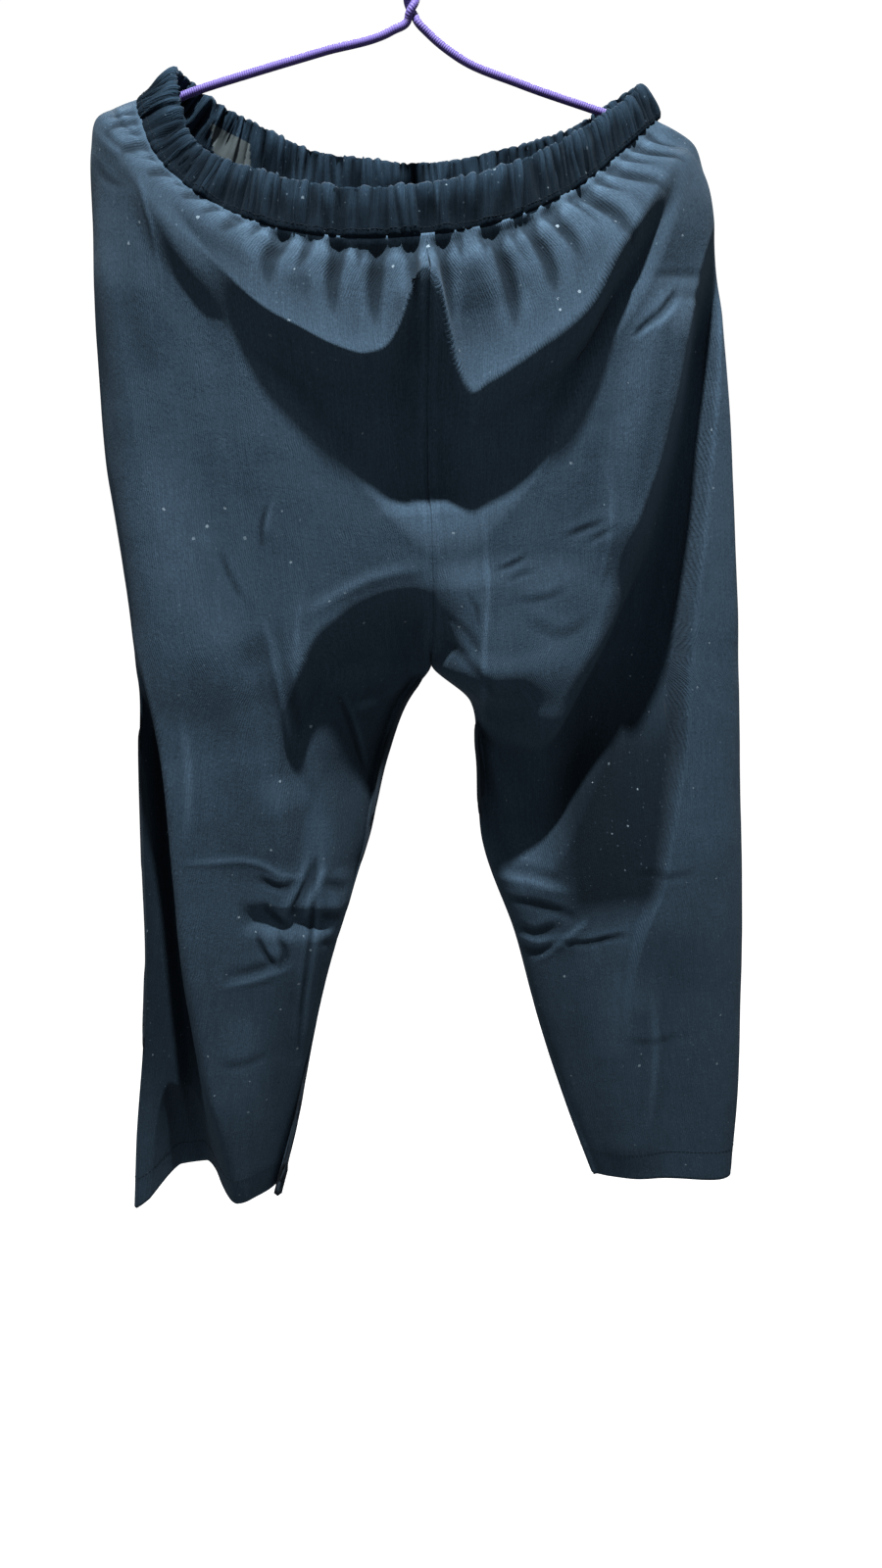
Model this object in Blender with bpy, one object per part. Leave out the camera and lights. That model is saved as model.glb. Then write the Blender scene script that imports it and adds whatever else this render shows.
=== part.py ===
"""Pull-on corduroy trousers with a gathered elastic waist, hung by the waist over a covered wire hanger.

Metres, +Z up. The front faces -Y and the wearer's right leg is at -X. The origin is the inside top of the
hanger's hook, where a rail or a nail carries it.
"""
import bpy
import bmesh
import numpy as np
from collections import namedtuple
from math import pi, sin, cos, radians

NAME = "corduroy_joggers"

CLOTH = 0.0015
SEAM_GAP = 0.0003
PANEL_COLOUR, BAND_COLOUR, CORD_COLOUR = (0.022, 0.034, 0.050), (0.018, 0.028, 0.042), (0.075, 0.040, 0.130)
RIGHT, LEFT = -1, 1
FRONT, BACK = -1, 1

# Wire hanger: a hook, a neck where both ends twist round each other, two arms, two round tips and a bar.
WIRE = 0.0056
HOOK_RADIUS = 0.018 + WIRE / 2
HOOK_END_ANGLE = 205
HOOK_TURNS_IN = -20
SHANK = ((0.0130, -0.0345), (0.0045, -0.0430))
TWIST_TOP, NECK = -0.047, -0.087
TWIST_TURNS = 1.5
TWIST_RADIUS = WIRE / 2 + 0.0002
# Route of the arms in x and z, with the centres of the two tips. The wearer's left side hangs a little lower.
RIGHT_ARM = ((-0.014, -0.0935), (-0.063, -0.107), (-0.111, -0.120), (-0.157, -0.1335))
LEFT_ARM = ((0.166, -0.1555), (0.131, -0.1445), (0.075, -0.127), (0.033, -0.111), (0.0125, -0.0965))
RIGHT_TIP, LEFT_TIP = (-0.1905, -0.1730), (0.1755, -0.1860)
TIP_RADIUS = 0.024
RIGHT_TIP_ARC, LEFT_TIP_ARC = (105, 268), (272, 434)
REST = 0.0018


def seat(tip, degrees):
    """x and z of the cloth's outer face where it rests on a hanger tip, at an angle above level."""
    reach = TIP_RADIUS + WIRE / 2 + REST + CLOTH
    away = -1 if tip is RIGHT_TIP else 1
    return tip[0] + away * reach * cos(radians(degrees)), tip[1] + reach * sin(radians(degrees))


# Waistband: a casing folded over a wide elastic.
BAND_THICK = 0.0036
BAND_GATHERS = 96
BAND_COLUMNS_PER_GATHER = 4
BAND_GATHER_DEPTH = 0.0013
BAND_UNEVEN, BAND_BEAT = 0.2, 0.37
BAND_SEAM_GAP = 0.0006
# The casing's section: how far down the band, how far out in band thicknesses, and its share of the gathers.
Profile = namedtuple("Profile", "name down out gathers")
BAND_PROFILE = (
    Profile("outer top", 0.03, 0.36, 0.8),
    Profile("outer middle", 0.50, 0.52, 1.0),
    Profile("outer seam", 1.00, 0.10, 0.4),
    Profile("inner seam", 1.00, -0.36, 0.4),
    Profile("inner top", 0.03, -0.40, 0.8),
)

# Stations round the waistband, from the wearer's right side over the front to the left side and home over the
# back: x, y and z of the free upper edge, and from there to the seamed lower edge.
Station = namedtuple("Station", "name x y z out forward fall")
STATIONS = (
    Station("right side", -0.162, 0.000, -0.119, -0.024, 0.001, 0.018),
    Station("right drop", -0.161, -0.022, -0.142, -0.026, -0.004, 0.011),
    Station("right corner", -0.153, -0.037, -0.171, -0.021, -0.007, 0.016),
    Station("right bend", -0.134, -0.052, -0.190, -0.013, -0.007, 0.024),
    Station("right front", -0.102, -0.068, -0.205, -0.006, -0.006, 0.030),
    Station("right dip", -0.055, -0.084, -0.216, -0.003, -0.004, 0.031),
    Station("centre front", 0.000, -0.090, -0.216, 0.000, -0.003, 0.031),
    Station("left dip", 0.050, -0.083, -0.206, 0.001, -0.004, 0.032),
    Station("left front", 0.098, -0.059, -0.181, 0.005, -0.005, 0.031),
    Station("left rise", 0.137, -0.028, -0.149, 0.007, -0.003, 0.028),
    Station("left side", 0.161, 0.000, -0.128, 0.012, 0.000, 0.022),
    Station("left back", 0.134, 0.026, -0.138, 0.010, 0.003, 0.028),
    Station("left seat", 0.075, 0.049, -0.154, 0.003, 0.003, 0.032),
    Station("centre back", 0.000, 0.057, -0.161, 0.000, 0.003, 0.032),
    Station("right seat", -0.075, 0.050, -0.153, -0.003, 0.003, 0.032),
    Station("right back", -0.136, 0.027, -0.132, -0.018, 0.004, 0.025),
)
SIDE_RIGHT, CENTRE_FRONT, SIDE_LEFT, CENTRE_BACK = 0, 6, 10, 13

# Level sections of the body, each with the grid rows that lead down to it. closed goes from 0, where the
# panel ends flat at the centre seam, to 1, where it turns back to the inseam. swell is its deepest y.
# follow is the share of a section that is the waistband's own lower edge, let down by the distance below.
Body = namedtuple("Body", "name rows closed right_x right_z left_x left_z "
                  "front_y front_z back_y back_z front_swell back_swell follow below")
BODY = (
    Body("over the wire", 3, 0.0, *seat(RIGHT_TIP, 80), *seat(LEFT_TIP, 76),
         -0.091, -0.266, 0.062, -0.213, -0.091, 0.062, 0.70, 0.018),
    Body("shoulder", 2, 0.0, *seat(RIGHT_TIP, 38), *seat(LEFT_TIP, 36),
         -0.085, -0.281, 0.063, -0.229, -0.085, 0.063, 0.40, 0.036),
    Body("hanger tips", 2, 0.0, *seat(RIGHT_TIP, -6), *seat(LEFT_TIP, -6),
         -0.078, -0.300, 0.063, -0.250, -0.078, 0.063, 0.15, 0.056),
    Body("fullest", 2, 0.0, -0.2275, -0.235, 0.2150, -0.245,
         -0.066, -0.345, 0.060, -0.296, -0.066, 0.060, 0.0, 0.0),
    Body("under the swag", 3, 0.0, -0.2315, -0.300, 0.2245, -0.305,
         -0.056, -0.398, 0.057, -0.350, -0.056, 0.057, 0.0, 0.0),
    Body("hip", 2, 0.0, -0.2320, -0.375, 0.2330, -0.380,
         -0.050, -0.445, 0.055, -0.410, -0.050, 0.055, 0.0, 0.0),
    Body("seat", 1, 0.3, -0.2245, -0.455, 0.2390, -0.460,
         -0.037, -0.490, 0.043, -0.475, -0.053, 0.057, 0.0, 0.0),
    Body("rise", 1, 0.65, -0.2220, -0.505, 0.2415, -0.505,
         -0.019, -0.520, 0.022, -0.518, -0.057, 0.058, 0.0, 0.0),
)
# Level sections of the two legs from the crotch down.
Leg = namedtuple("Leg", "name rows z right_x right_in left_in left_x "
                 "right_front right_back left_front left_back")
LEGS = (
    Leg("crotch", 1, -0.536, -0.2235, 0.000, 0.000, 0.2420, -0.058, 0.058, -0.056, 0.058),
    Leg("fork", 1, -0.562, -0.2250, -0.019, 0.028, 0.2430, -0.058, 0.057, -0.055, 0.057),
    Leg("thigh", 1, -0.605, -0.2280, -0.036, 0.035, 0.2450, -0.058, 0.056, -0.053, 0.056),
    Leg("above the knee", 2, -0.680, -0.2320, -0.055, 0.038, 0.2495, -0.056, 0.053, -0.048, 0.054),
    Leg("knee", 2, -0.760, -0.2360, -0.085, 0.064, 0.2530, -0.053, 0.051, -0.042, 0.052),
    Leg("calf", 2, -0.840, -0.2445, -0.105, 0.084, 0.2540, -0.050, 0.053, -0.038, 0.052),
    Leg("shin", 1, -0.920, -0.2560, -0.124, 0.107, 0.2540, -0.047, 0.057, -0.034, 0.054),
    Leg("hem", 2, -0.983, -0.2630, -0.142, 0.129, 0.2520, -0.045, 0.066, -0.031, 0.058),
)
CROTCH = 1 + len(BODY)
GATHERED_SECTIONS = 3
COLUMNS = 32
FOLLOW_FADE = 0.09
ROUNDNESS = 0.8
ROUNDER_FROM, ROUNDER_TO = 0.5, 0.8
SAMPLES = 160
LEAST_LEAN = 0.7

# The swag of the front hangs forward between the hanger's tips and ends below in a curved edge.
Swag = namedtuple("Swag", "face depth x half_width top fall bend roll reach")
SWAGS = (
    Swag(FRONT, 0.036, 0.015, 0.192, -0.190, 0.226, 1.5, 0.072, 0.205),
    Swag(BACK, 0.016, 0.000, 0.180, -0.190, 0.185, 1.7, 0.090, 0.200),
)
SWAG_STARTS = 0.055

# Large folds: where each begins and ends in x and z, its half width and depth at both ends, and how much of
# the width lies on the +X side. A positive depth is a trough.
Fold = namedtuple("Fold", "name face x0 z0 x1 z1 wide0 wide1 deep0 deep1 share")
FOLDS = (
    Fold("left leg valley", FRONT, 0.208, -0.250, 0.156, -0.765, 0.030, 0.064, 0.012, 0.048, 0.42),
    Fold("right side valley", FRONT, -0.221, -0.470, -0.218, -1.160, 0.006, 0.058, -0.012, 0.074, 0.50),
    Fold("right hem hollow", FRONT, -0.214, -0.840, -0.220, -1.140, 0.030, 0.078, 0.000, 0.070, 0.50),
    Fold("right thigh line", FRONT, -0.130, -0.500, -0.110, -0.640, 0.020, 0.024, 0.004, 0.007, 0.40),
    Fold("left inner thigh", FRONT, 0.050, -0.540, 0.075, -0.720, 0.022, 0.030, 0.006, 0.014, 0.50),
    Fold("left knee", FRONT, 0.040, -0.705, 0.170, -0.750, 0.016, 0.016, 0.012, 0.004, 0.50),
    Fold("right knee", FRONT, -0.160, -0.722, -0.080, -0.735, 0.016, 0.014, 0.004, 0.010, 0.50),
    Fold("seat left", BACK, 0.150, -0.300, 0.100, -0.620, 0.034, 0.044, 0.006, 0.016, 0.60),
    Fold("seat right", BACK, -0.160, -0.320, -0.120, -0.640, 0.034, 0.044, 0.006, 0.018, 0.40),
    Fold("back left knee", BACK, 0.090, -0.700, 0.215, -0.690, 0.020, 0.018, 0.006, 0.012, 0.50),
    Fold("back right knee", BACK, -0.210, -0.710, -0.090, -0.725, 0.018, 0.020, 0.010, 0.008, 0.50),
    Fold("back left calf", BACK, 0.180, -0.760, 0.205, -1.040, 0.030, 0.040, 0.004, 0.020, 0.50),
    Fold("back right calf", BACK, -0.160, -0.780, -0.168, -1.040, 0.024, 0.028, 0.004, 0.012, 0.50),
)
FOLD_FADE, FOLD_FLOOR = 0.22, 0.12
SIDE_FADE, HEM_SIDE_FADE, INSEAM_FADE = 0.16, 0.06, 0.08
HEM_LIFT, HEM_LIFT_STARTS, HEM_LIFT_ENDS = 0.12, -0.860, -0.980
GATHER_DEPTH = 0.0052
GATHER_SWELLS, GATHER_ENDS = 0.016, 0.095
GATHER_UNEVEN, GATHER_BEAT, GATHER_SIDE_FADE = 0.28, 1.9, 0.14


def smooth(knots, values, at):
    """Values at the places asked for, on a cubic through every knot."""
    knots, values, at = np.asarray(knots, float), np.asarray(values, float), np.asarray(at, float)
    step = np.diff(knots).reshape((-1,) + (1,) * (values.ndim - 1))
    slope = np.diff(values, axis=0) / step
    inner = (slope[:-1] * step[1:] + slope[1:] * step[:-1]) / (step[:-1] + step[1:])
    tangent = np.concatenate([slope[:1], inner, slope[-1:]])
    cell = np.clip(np.searchsorted(knots, at, side="right") - 1, 0, len(knots) - 2)
    width = step[cell]
    t = ((at - knots[cell]).reshape((-1,) + (1,) * (values.ndim - 1))) / width
    return (values[cell] * (1 + 2 * t) * (1 - t) ** 2 + tangent[cell] * width * t * (1 - t) ** 2
            + values[cell + 1] * t ** 2 * (3 - 2 * t) + tangent[cell + 1] * width * t ** 2 * (t - 1))


def ease(low, high, value):
    """0 below low, 1 above high, and a soft rise between."""
    t = np.clip((value - low) / (high - low), 0, 1)
    return t * t * (3 - 2 * t)


def unit(vectors):
    return vectors / np.linalg.norm(vectors, axis=-1, keepdims=True)


def even(points, count):
    """count points at equal lengths along a line of many points."""
    length = np.append(0, np.cumsum(np.linalg.norm(np.diff(points[:, :3], axis=0), axis=1)))
    places = np.linspace(0, length[-1], count)
    return np.stack([np.interp(places, length, column) for column in points.T], axis=1)


def band_line(first, last):
    """Upper and lower edge of the waistband between two stations, as rows of six numbers."""
    edges = np.array([(s.x, s.y, s.z, s.x + s.out, s.y + s.forward, s.z - s.fall) for s in STATIONS])
    lap = len(edges)
    ring = np.concatenate([edges[-2:], edges, edges[:3]])
    return smooth(np.arange(-2, lap + 3), ring, np.linspace(first, last, SAMPLES))


def section(side, edge, swell, closed):
    """A panel's section from the side seam to its inner edge, bulging to y = swell."""
    angle = np.linspace(0, pi / 2 * (1 + closed), SAMPLES)
    power = ROUNDNESS + (1 - ROUNDNESS) * ease(ROUNDER_FROM, ROUNDER_TO, angle / pi)
    across = 1 - np.sign(np.cos(angle)) * np.abs(np.cos(angle)) ** power
    across = across / across[-1]
    bulge = np.abs(np.sin(angle)) ** power
    y = side[1] + (swell - side[1]) * bulge
    y = y + (edge[1] - y[-1]) * across ** 2
    x = side[0] + (edge[0] - side[0]) * across
    z = side[2] + (edge[2] - side[2]) * across * (2 - across)
    return np.stack([x, y, z], axis=1)


def panel_sections(side, face):
    """Every section of one panel, COLUMNS + 1 points each, and the way the waistband falls to the first."""
    centre = {FRONT: CENTRE_FRONT, BACK: CENTRE_BACK}[face]
    first = {RIGHT: SIDE_RIGHT, LEFT: SIDE_LEFT}[side]
    if (side, face) == (RIGHT, BACK):
        first = len(STATIONS)
    waist = even(band_line(first, centre), COLUMNS + 1)
    fall = unit(waist[:, 3:] - waist[:, :3])
    rows = [waist[:, 3:] + fall * BAND_SEAM_GAP]
    for body in BODY:
        seam = (body.right_x, 0, body.right_z) if side == RIGHT else (body.left_x, 0, body.left_z)
        edge = (0, body.front_y, body.front_z) if face == FRONT else (0, body.back_y, body.back_z)
        swell = body.front_swell if face == FRONT else body.back_swell
        line = even(section(seam, edge, swell, body.closed), COLUMNS + 1)
        follow = body.follow * ease(0, FOLLOW_FADE, np.linspace(0, 1, COLUMNS + 1))[:, None]
        rows.append(line * (1 - follow) + (waist[:, 3:] + fall * body.below) * follow)
    for leg in LEGS:
        seam = (leg.right_x if side == RIGHT else leg.left_x, 0, leg.z)
        edge = (leg.right_in if side == RIGHT else leg.left_in, 0, leg.z)
        depths = {(RIGHT, FRONT): leg.right_front, (RIGHT, BACK): leg.right_back,
                  (LEFT, FRONT): leg.left_front, (LEFT, BACK): leg.left_back}
        rows.append(even(section(seam, edge, depths[side, face], 1.0), COLUMNS + 1))
    return np.array(rows), fall


def swag_depth(face, x, z, below_seam):
    """How far the swag pushes the cloth out at x and z."""
    total = np.zeros_like(x)
    for swag in (s for s in SWAGS if s.face == face):
        aside = np.clip(np.abs(x - swag.x) / swag.half_width, 0, 1)
        edge = swag.top - swag.fall * (1 - aside ** swag.bend) ** (1 / swag.bend)
        narrow = np.sqrt(np.clip(1 - (x / swag.reach) ** 2, 0, 1))
        total += swag.depth * narrow * ease(0, SWAG_STARTS, below_seam) * ease(0, 1, (z - edge) / swag.roll)
    return total


def fold_depth(face, x, z):
    """How far the large folds push the cloth in at x and z."""
    total = np.zeros_like(x)
    for fold in (f for f in FOLDS if f.face == face):
        run = np.array((fold.x1 - fold.x0, fold.z1 - fold.z0))
        long = np.hypot(*run)
        run = run / long
        along = ((x - fold.x0) * run[0] + (z - fold.z0) * run[1]) / long
        aside = (x - fold.x0) * -run[1] + (z - fold.z0) * run[0]
        part = np.clip(along, 0, 1)
        wide = fold.wide0 + (fold.wide1 - fold.wide0) * part
        deep = fold.deep0 + (fold.deep1 - fold.deep0) * part
        reach = 2 * wide * np.where(aside > 0, fold.share, 1 - fold.share)
        shape = 1 - ease(FOLD_FLOOR, 1, np.abs(aside) / reach)
        total += deep * shape * ease(0, FOLD_FADE, along) * ease(0, FOLD_FADE, 1 - along)
    return total


def grid_rows():
    """Row positions as fractional section numbers, and the number of the crotch row."""
    counts = [section.rows for section in BODY + LEGS]
    places = [0.0]
    for section_number, count in enumerate(counts):
        places += [section_number + (k + 1) / count for k in range(count)]
    return np.array(places), sum(counts[:CROTCH])


def panel_grids():
    """Outer points of the four panels on one shared set of rows, the waistband's falls, the crotch row."""
    keys = [(side, face) for side in (RIGHT, LEFT) for face in (FRONT, BACK)]
    sections, falls = {}, {}
    for key in keys:
        sections[key], falls[key] = panel_sections(*key)
    steps = [np.linalg.norm(np.diff(rows, axis=0), axis=2).mean(axis=1) for rows in sections.values()]
    down = np.append(0, np.cumsum(np.mean(steps, axis=0)))
    places, crotch = grid_rows()
    row_down = np.interp(places, np.arange(len(down)), down)
    closed = np.interp(places, np.arange(len(down)), [0.0] + [b.closed for b in BODY] + [1.0] * len(LEGS))
    across = np.linspace(0, 1, COLUMNS + 1)
    inseam_fade = 1 - closed[:, None] * (1 - ease(0, INSEAM_FADE, 1 - across))
    tuck = np.arange(COLUMNS + 1)
    swell = ease(0, GATHER_SWELLS, row_down) * (1 - ease(GATHER_SWELLS, GATHER_ENDS, row_down))
    grids = {}
    for (side, face), rows in sections.items():
        grid = smooth(down, rows, row_down)
        x, z = grid[:, :, 0], grid[:, :, 2]
        near_hem = ease(-HEM_LIFT_STARTS, -HEM_LIFT_ENDS, -z)
        side_fade = ease(0, 1, across / (SIDE_FADE + (HEM_SIDE_FADE - SIDE_FADE) * near_hem))
        folds = fold_depth(face, x, z) * side_fade * inseam_fade
        swag = swag_depth(face, x, z, row_down[:, None]) * side_fade
        grid[:, :, 1] += face * (swag - folds)
        grid[:, :, 2] += HEM_LIFT * folds * near_hem
        uneven = 1 - GATHER_UNEVEN * (1 - np.cos(tuck * GATHER_BEAT + side + face))
        wave = np.sin(tuck * pi / 2) * uneven * ease(0, GATHER_SIDE_FADE, across)
        grid += outward(grid, side, face) * (GATHER_DEPTH * swell[:, None] * wave)[:, :, None]
        grids[side, face] = grid
    return grids, falls, crotch


def outward(grid, side, face):
    """Unit normals of a panel's outer points."""
    return unit(np.cross(np.gradient(grid, axis=1), np.gradient(grid, axis=0))) * -side * face


def wall_vectors(grids, falls, crotch):
    """From each outer point to its inner point, shared by the panels that meet at a seam."""
    above, below = slice(0, crotch), slice(crotch + 1, None)
    seams = [((side, FRONT), (side, BACK), slice(None), 0) for side in (RIGHT, LEFT)]
    seams += [((side, FRONT), (side, BACK), below, -1) for side in (RIGHT, LEFT)]
    seams += [((RIGHT, face), (LEFT, face), above, -1) for face in (FRONT, BACK)]
    own = {key: outward(grid, *key) for key, grid in grids.items()}
    shared = {key: normals.copy() for key, normals in own.items()}
    for first, second, rows, column in seams:
        both = unit(own[first][rows, column] + own[second][rows, column])
        shared[first][rows, column] = shared[second][rows, column] = both
    walls = {}
    for key, normals in shared.items():
        normals[crotch, -1] = (0, 0, -1)
        lean = np.clip(np.sum(normals * own[key], axis=2, keepdims=True), LEAST_LEAN, 1)
        walls[key] = -normals * CLOTH / lean
        along = np.sum(walls[key][0] * falls[key], axis=1, keepdims=True) * falls[key]
        walls[key][0] = unit(walls[key][0] - along) * CLOTH
    for first, second, rows, column in seams:
        both = (walls[first][rows, column] + walls[second][rows, column]) / 2
        walls[first][rows, column] = walls[second][rows, column] = both
    fork = np.mean([wall[crotch, -1] for wall in walls.values()], axis=0)
    for wall in walls.values():
        wall[crotch, -1] = fork
    return walls


def seam_inset(grid, wall, column, toward, key, crotch):
    """Half a seam gap, square to the cut edge and into the panel."""
    along = np.gradient(grid[:, column], axis=0)
    inset = unit(np.cross(along, wall[:, column]))
    inset = inset * np.sign(np.sum(inset * (grid[:, toward] - grid[:, column]), axis=1))[:, None]
    if column:
        inset[crotch] = (key[0], key[1], 0)
    return inset * SEAM_GAP / 2


def shorter_up(upper, lower):
    """For each cell between two rows, whether the diagonal up from its lower left is the shorter."""
    if len(upper) != len(lower):
        return None
    return np.linalg.norm(upper[1:] - lower[:-1], axis=1) < np.linalg.norm(upper[:-1] - lower[1:], axis=1)


def strip(bm, upper, lower, outside, cuts=None):
    """Triangles between two rows of points, where the upper row may have twice the lower row's steps."""
    faces = []
    for k in range(len(lower) - 1):
        if len(upper) != len(lower):
            left, middle, right = upper[2 * k:2 * k + 3]
            faces += [(left, lower[k], middle), (middle, lower[k], lower[k + 1])]
            faces += [(middle, lower[k + 1], right)]
        elif cuts is not None and cuts[k]:
            faces += [(upper[k], lower[k], upper[k + 1]), (upper[k + 1], lower[k], lower[k + 1])]
        else:
            faces += [(upper[k], lower[k], lower[k + 1]), (upper[k], lower[k + 1], upper[k + 1])]
    for face in faces:
        bm.faces.new(face if outside else face[::-1])


def material(name, colour, roughness):
    made = bpy.data.materials.new(name)
    made.use_nodes = True
    shader = made.node_tree.nodes["Principled BSDF"]
    shader.inputs["Base Color"].default_value = (*colour, 1)
    shader.inputs["Roughness"].default_value = roughness
    return made


def add_mesh(name, bm, finish, collection):
    mesh = bpy.data.meshes.new(name)
    bm.to_mesh(mesh)
    bm.free()
    mesh.materials.append(finish)
    mesh.shade_smooth()
    made = bpy.data.objects.new(name, mesh)
    collection.objects.link(made)
    return made


def add_panel(name, key, grid, wall, crotch, collection):
    """One panel's wall: its outer points, its inner points and the cut edges between them."""
    grid = grid.copy()
    for column, toward in ((0, 1), (-1, -2)):
        grid[:, column] += seam_inset(grid, wall, column, toward, key, crotch)
    inner = grid + wall
    fine = sum(body.rows for body in BODY[:GATHERED_SECTIONS])
    steps = [1 if row < fine else 2 for row in range(len(grid))]
    bm = bmesh.new()
    kept = [grid[row][::step] for row, step in enumerate(steps)]
    outer_rows = [[bm.verts.new(p) for p in points] for points in kept]
    inner_rows = [[bm.verts.new(p) for p in inner[row][::step]] for row, step in enumerate(steps)]
    turned = key[0] * key[1] > 0
    for row in range(len(grid) - 1):
        cuts = shorter_up(kept[row], kept[row + 1])
        strip(bm, outer_rows[row], outer_rows[row + 1], turned, cuts)
        strip(bm, inner_rows[row], inner_rows[row + 1], not turned, cuts)
        for end, flip in ((0, not turned), (-1, turned)):
            top, low = outer_rows[row][end], outer_rows[row + 1][end]
            top_in, low_in = inner_rows[row][end], inner_rows[row + 1][end]
            for corner in ((top, low, low_in), (top, low_in, top_in)):
                bm.faces.new(corner if flip == (end == 0) else corner[::-1])
    strip(bm, inner_rows[0], outer_rows[0], turned)
    strip(bm, outer_rows[-1], inner_rows[-1], turned)
    bmesh.ops.recalc_face_normals(bm, faces=bm.faces)
    cloth = material(name + "_cloth", PANEL_COLOUR, 0.9)
    return add_mesh(name, bm, cloth, collection)


def add_waistband(collection):
    """The gathered casing: a closed ring whose section is swept along its two edges."""
    count = BAND_GATHERS * BAND_COLUMNS_PER_GATHER
    ring = np.concatenate([band_line(k, k + 1)[:-1] for k in range(len(STATIONS))])
    ring = even(np.concatenate([ring, ring[:1]]), count + 1)[:-1]
    upper, lower = ring[:, :3], ring[:, 3:]
    fall = lower - upper
    tangent = np.roll(upper + lower, -1, axis=0) - np.roll(upper + lower, 1, axis=0)
    normal = unit(np.cross(fall, tangent))
    turn = 2 * pi * np.arange(count) / BAND_COLUMNS_PER_GATHER
    uneven = 1 - BAND_UNEVEN * (1 - np.cos(BAND_BEAT * np.arange(count)))
    wave = BAND_GATHER_DEPTH * np.sin(turn) * uneven
    bm = bmesh.new()
    lines = []
    for corner in BAND_PROFILE:
        out = corner.out * BAND_THICK + wave * corner.gathers
        line = upper + fall * corner.down + normal * out[:, None]
        lines.append([bm.verts.new(p) for p in line])
    for line, following in zip(lines, lines[1:] + lines[:1]):
        for k in range(count):
            after = (k + 1) % count
            bm.faces.new((line[k], line[after], following[after], following[k]))
    bmesh.ops.recalc_face_normals(bm, faces=bm.faces)
    casing = material("waistband_cloth", BAND_COLOUR, 0.9)
    return add_mesh("waistband", bm, casing, collection)


def arc(centre_x, centre_z, radius, start, stop, count):
    """Points on an upright arc, angles in degrees from +X towards +Z."""
    angles = np.radians(np.linspace(start, stop, count))
    return [(centre_x + radius * cos(a), 0, centre_z + radius * sin(a)) for a in angles]


def hanger_route():
    """The wire from the hook's end down the twist, round the shoulders and back up the twist."""
    hook = arc(0, WIRE / 2 - HOOK_RADIUS, HOOK_RADIUS, HOOK_END_ANGLE, HOOK_TURNS_IN, 13)
    shank = [(x, 0, z) for x, z in SHANK]
    turns = np.linspace(0, 1, int(8 * TWIST_TURNS) + 1)
    angle = pi * (1 - 2 * TWIST_TURNS * turns)
    height = TWIST_TOP + (NECK - TWIST_TOP) * turns
    down = [(TWIST_RADIUS * cos(a), TWIST_RADIUS * sin(a), z) for a, z in zip(angle + pi, height)]
    up = [(TWIST_RADIUS * cos(a), TWIST_RADIUS * sin(a), z) for a, z in zip(angle, height)][::-1]
    right = [(x, 0, z) for x, z in RIGHT_ARM] + arc(*RIGHT_TIP, TIP_RADIUS, *RIGHT_TIP_ARC, 9)
    left = arc(*LEFT_TIP, TIP_RADIUS, *LEFT_TIP_ARC, 9) + [(x, 0, z) for x, z in LEFT_ARM]
    return hook + shank + down + right + left + up


def add_hanger(collection):
    curve = bpy.data.curves.new("wire_hanger", "CURVE")
    curve.dimensions = "3D"
    curve.bevel_depth = WIRE / 2
    curve.bevel_resolution = 2
    curve.use_fill_caps = True
    route = hanger_route()
    spline = curve.splines.new("POLY")
    spline.points.add(len(route) - 1)
    for point, place in zip(spline.points, route):
        point.co = (*place, 1)
    spline.use_smooth = True
    curve.materials.append(material("hanger_cord", CORD_COLOUR, 0.6))
    made = bpy.data.objects.new("wire_hanger", curve)
    collection.objects.link(made)
    return made


def build():
    for old in list(bpy.data.objects):
        bpy.data.objects.remove(old)
    collection = bpy.data.collections.new(NAME)
    bpy.context.scene.collection.children.link(collection)
    grids, falls, crotch = panel_grids()
    walls = wall_vectors(grids, falls, crotch)
    names = {(RIGHT, FRONT): "front_right", (LEFT, FRONT): "front_left",
             (RIGHT, BACK): "back_right", (LEFT, BACK): "back_left"}
    for key, name in names.items():
        add_panel(name, key, grids[key], walls[key], crotch, collection)
    add_waistband(collection)
    add_hanger(collection)


build()
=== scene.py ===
"""Dressed model of pull-on needlecord trousers with a gathered elastic waist, hung over a covered wire hanger.

Metres, +Z up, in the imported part's frame: the front faces -Y and the wearer's right leg is at -X.
"""
from collections import namedtuple
from math import pi, sin, cos, radians

import bmesh
import bpy
import numpy as np
from mathutils import Matrix, Vector


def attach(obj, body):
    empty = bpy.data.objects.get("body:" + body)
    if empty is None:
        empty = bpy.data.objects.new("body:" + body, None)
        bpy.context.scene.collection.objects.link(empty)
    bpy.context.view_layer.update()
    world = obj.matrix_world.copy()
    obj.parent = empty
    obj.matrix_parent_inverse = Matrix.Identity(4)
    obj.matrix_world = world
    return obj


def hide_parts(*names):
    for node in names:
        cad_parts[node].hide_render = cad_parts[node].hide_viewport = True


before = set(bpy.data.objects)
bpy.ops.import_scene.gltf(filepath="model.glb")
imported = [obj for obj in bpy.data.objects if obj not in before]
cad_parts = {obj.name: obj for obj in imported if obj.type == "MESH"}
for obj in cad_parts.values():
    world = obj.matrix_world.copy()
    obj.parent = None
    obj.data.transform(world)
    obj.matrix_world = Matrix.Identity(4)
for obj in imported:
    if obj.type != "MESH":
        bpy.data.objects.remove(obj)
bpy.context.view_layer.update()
scene = bpy.context.scene


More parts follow.
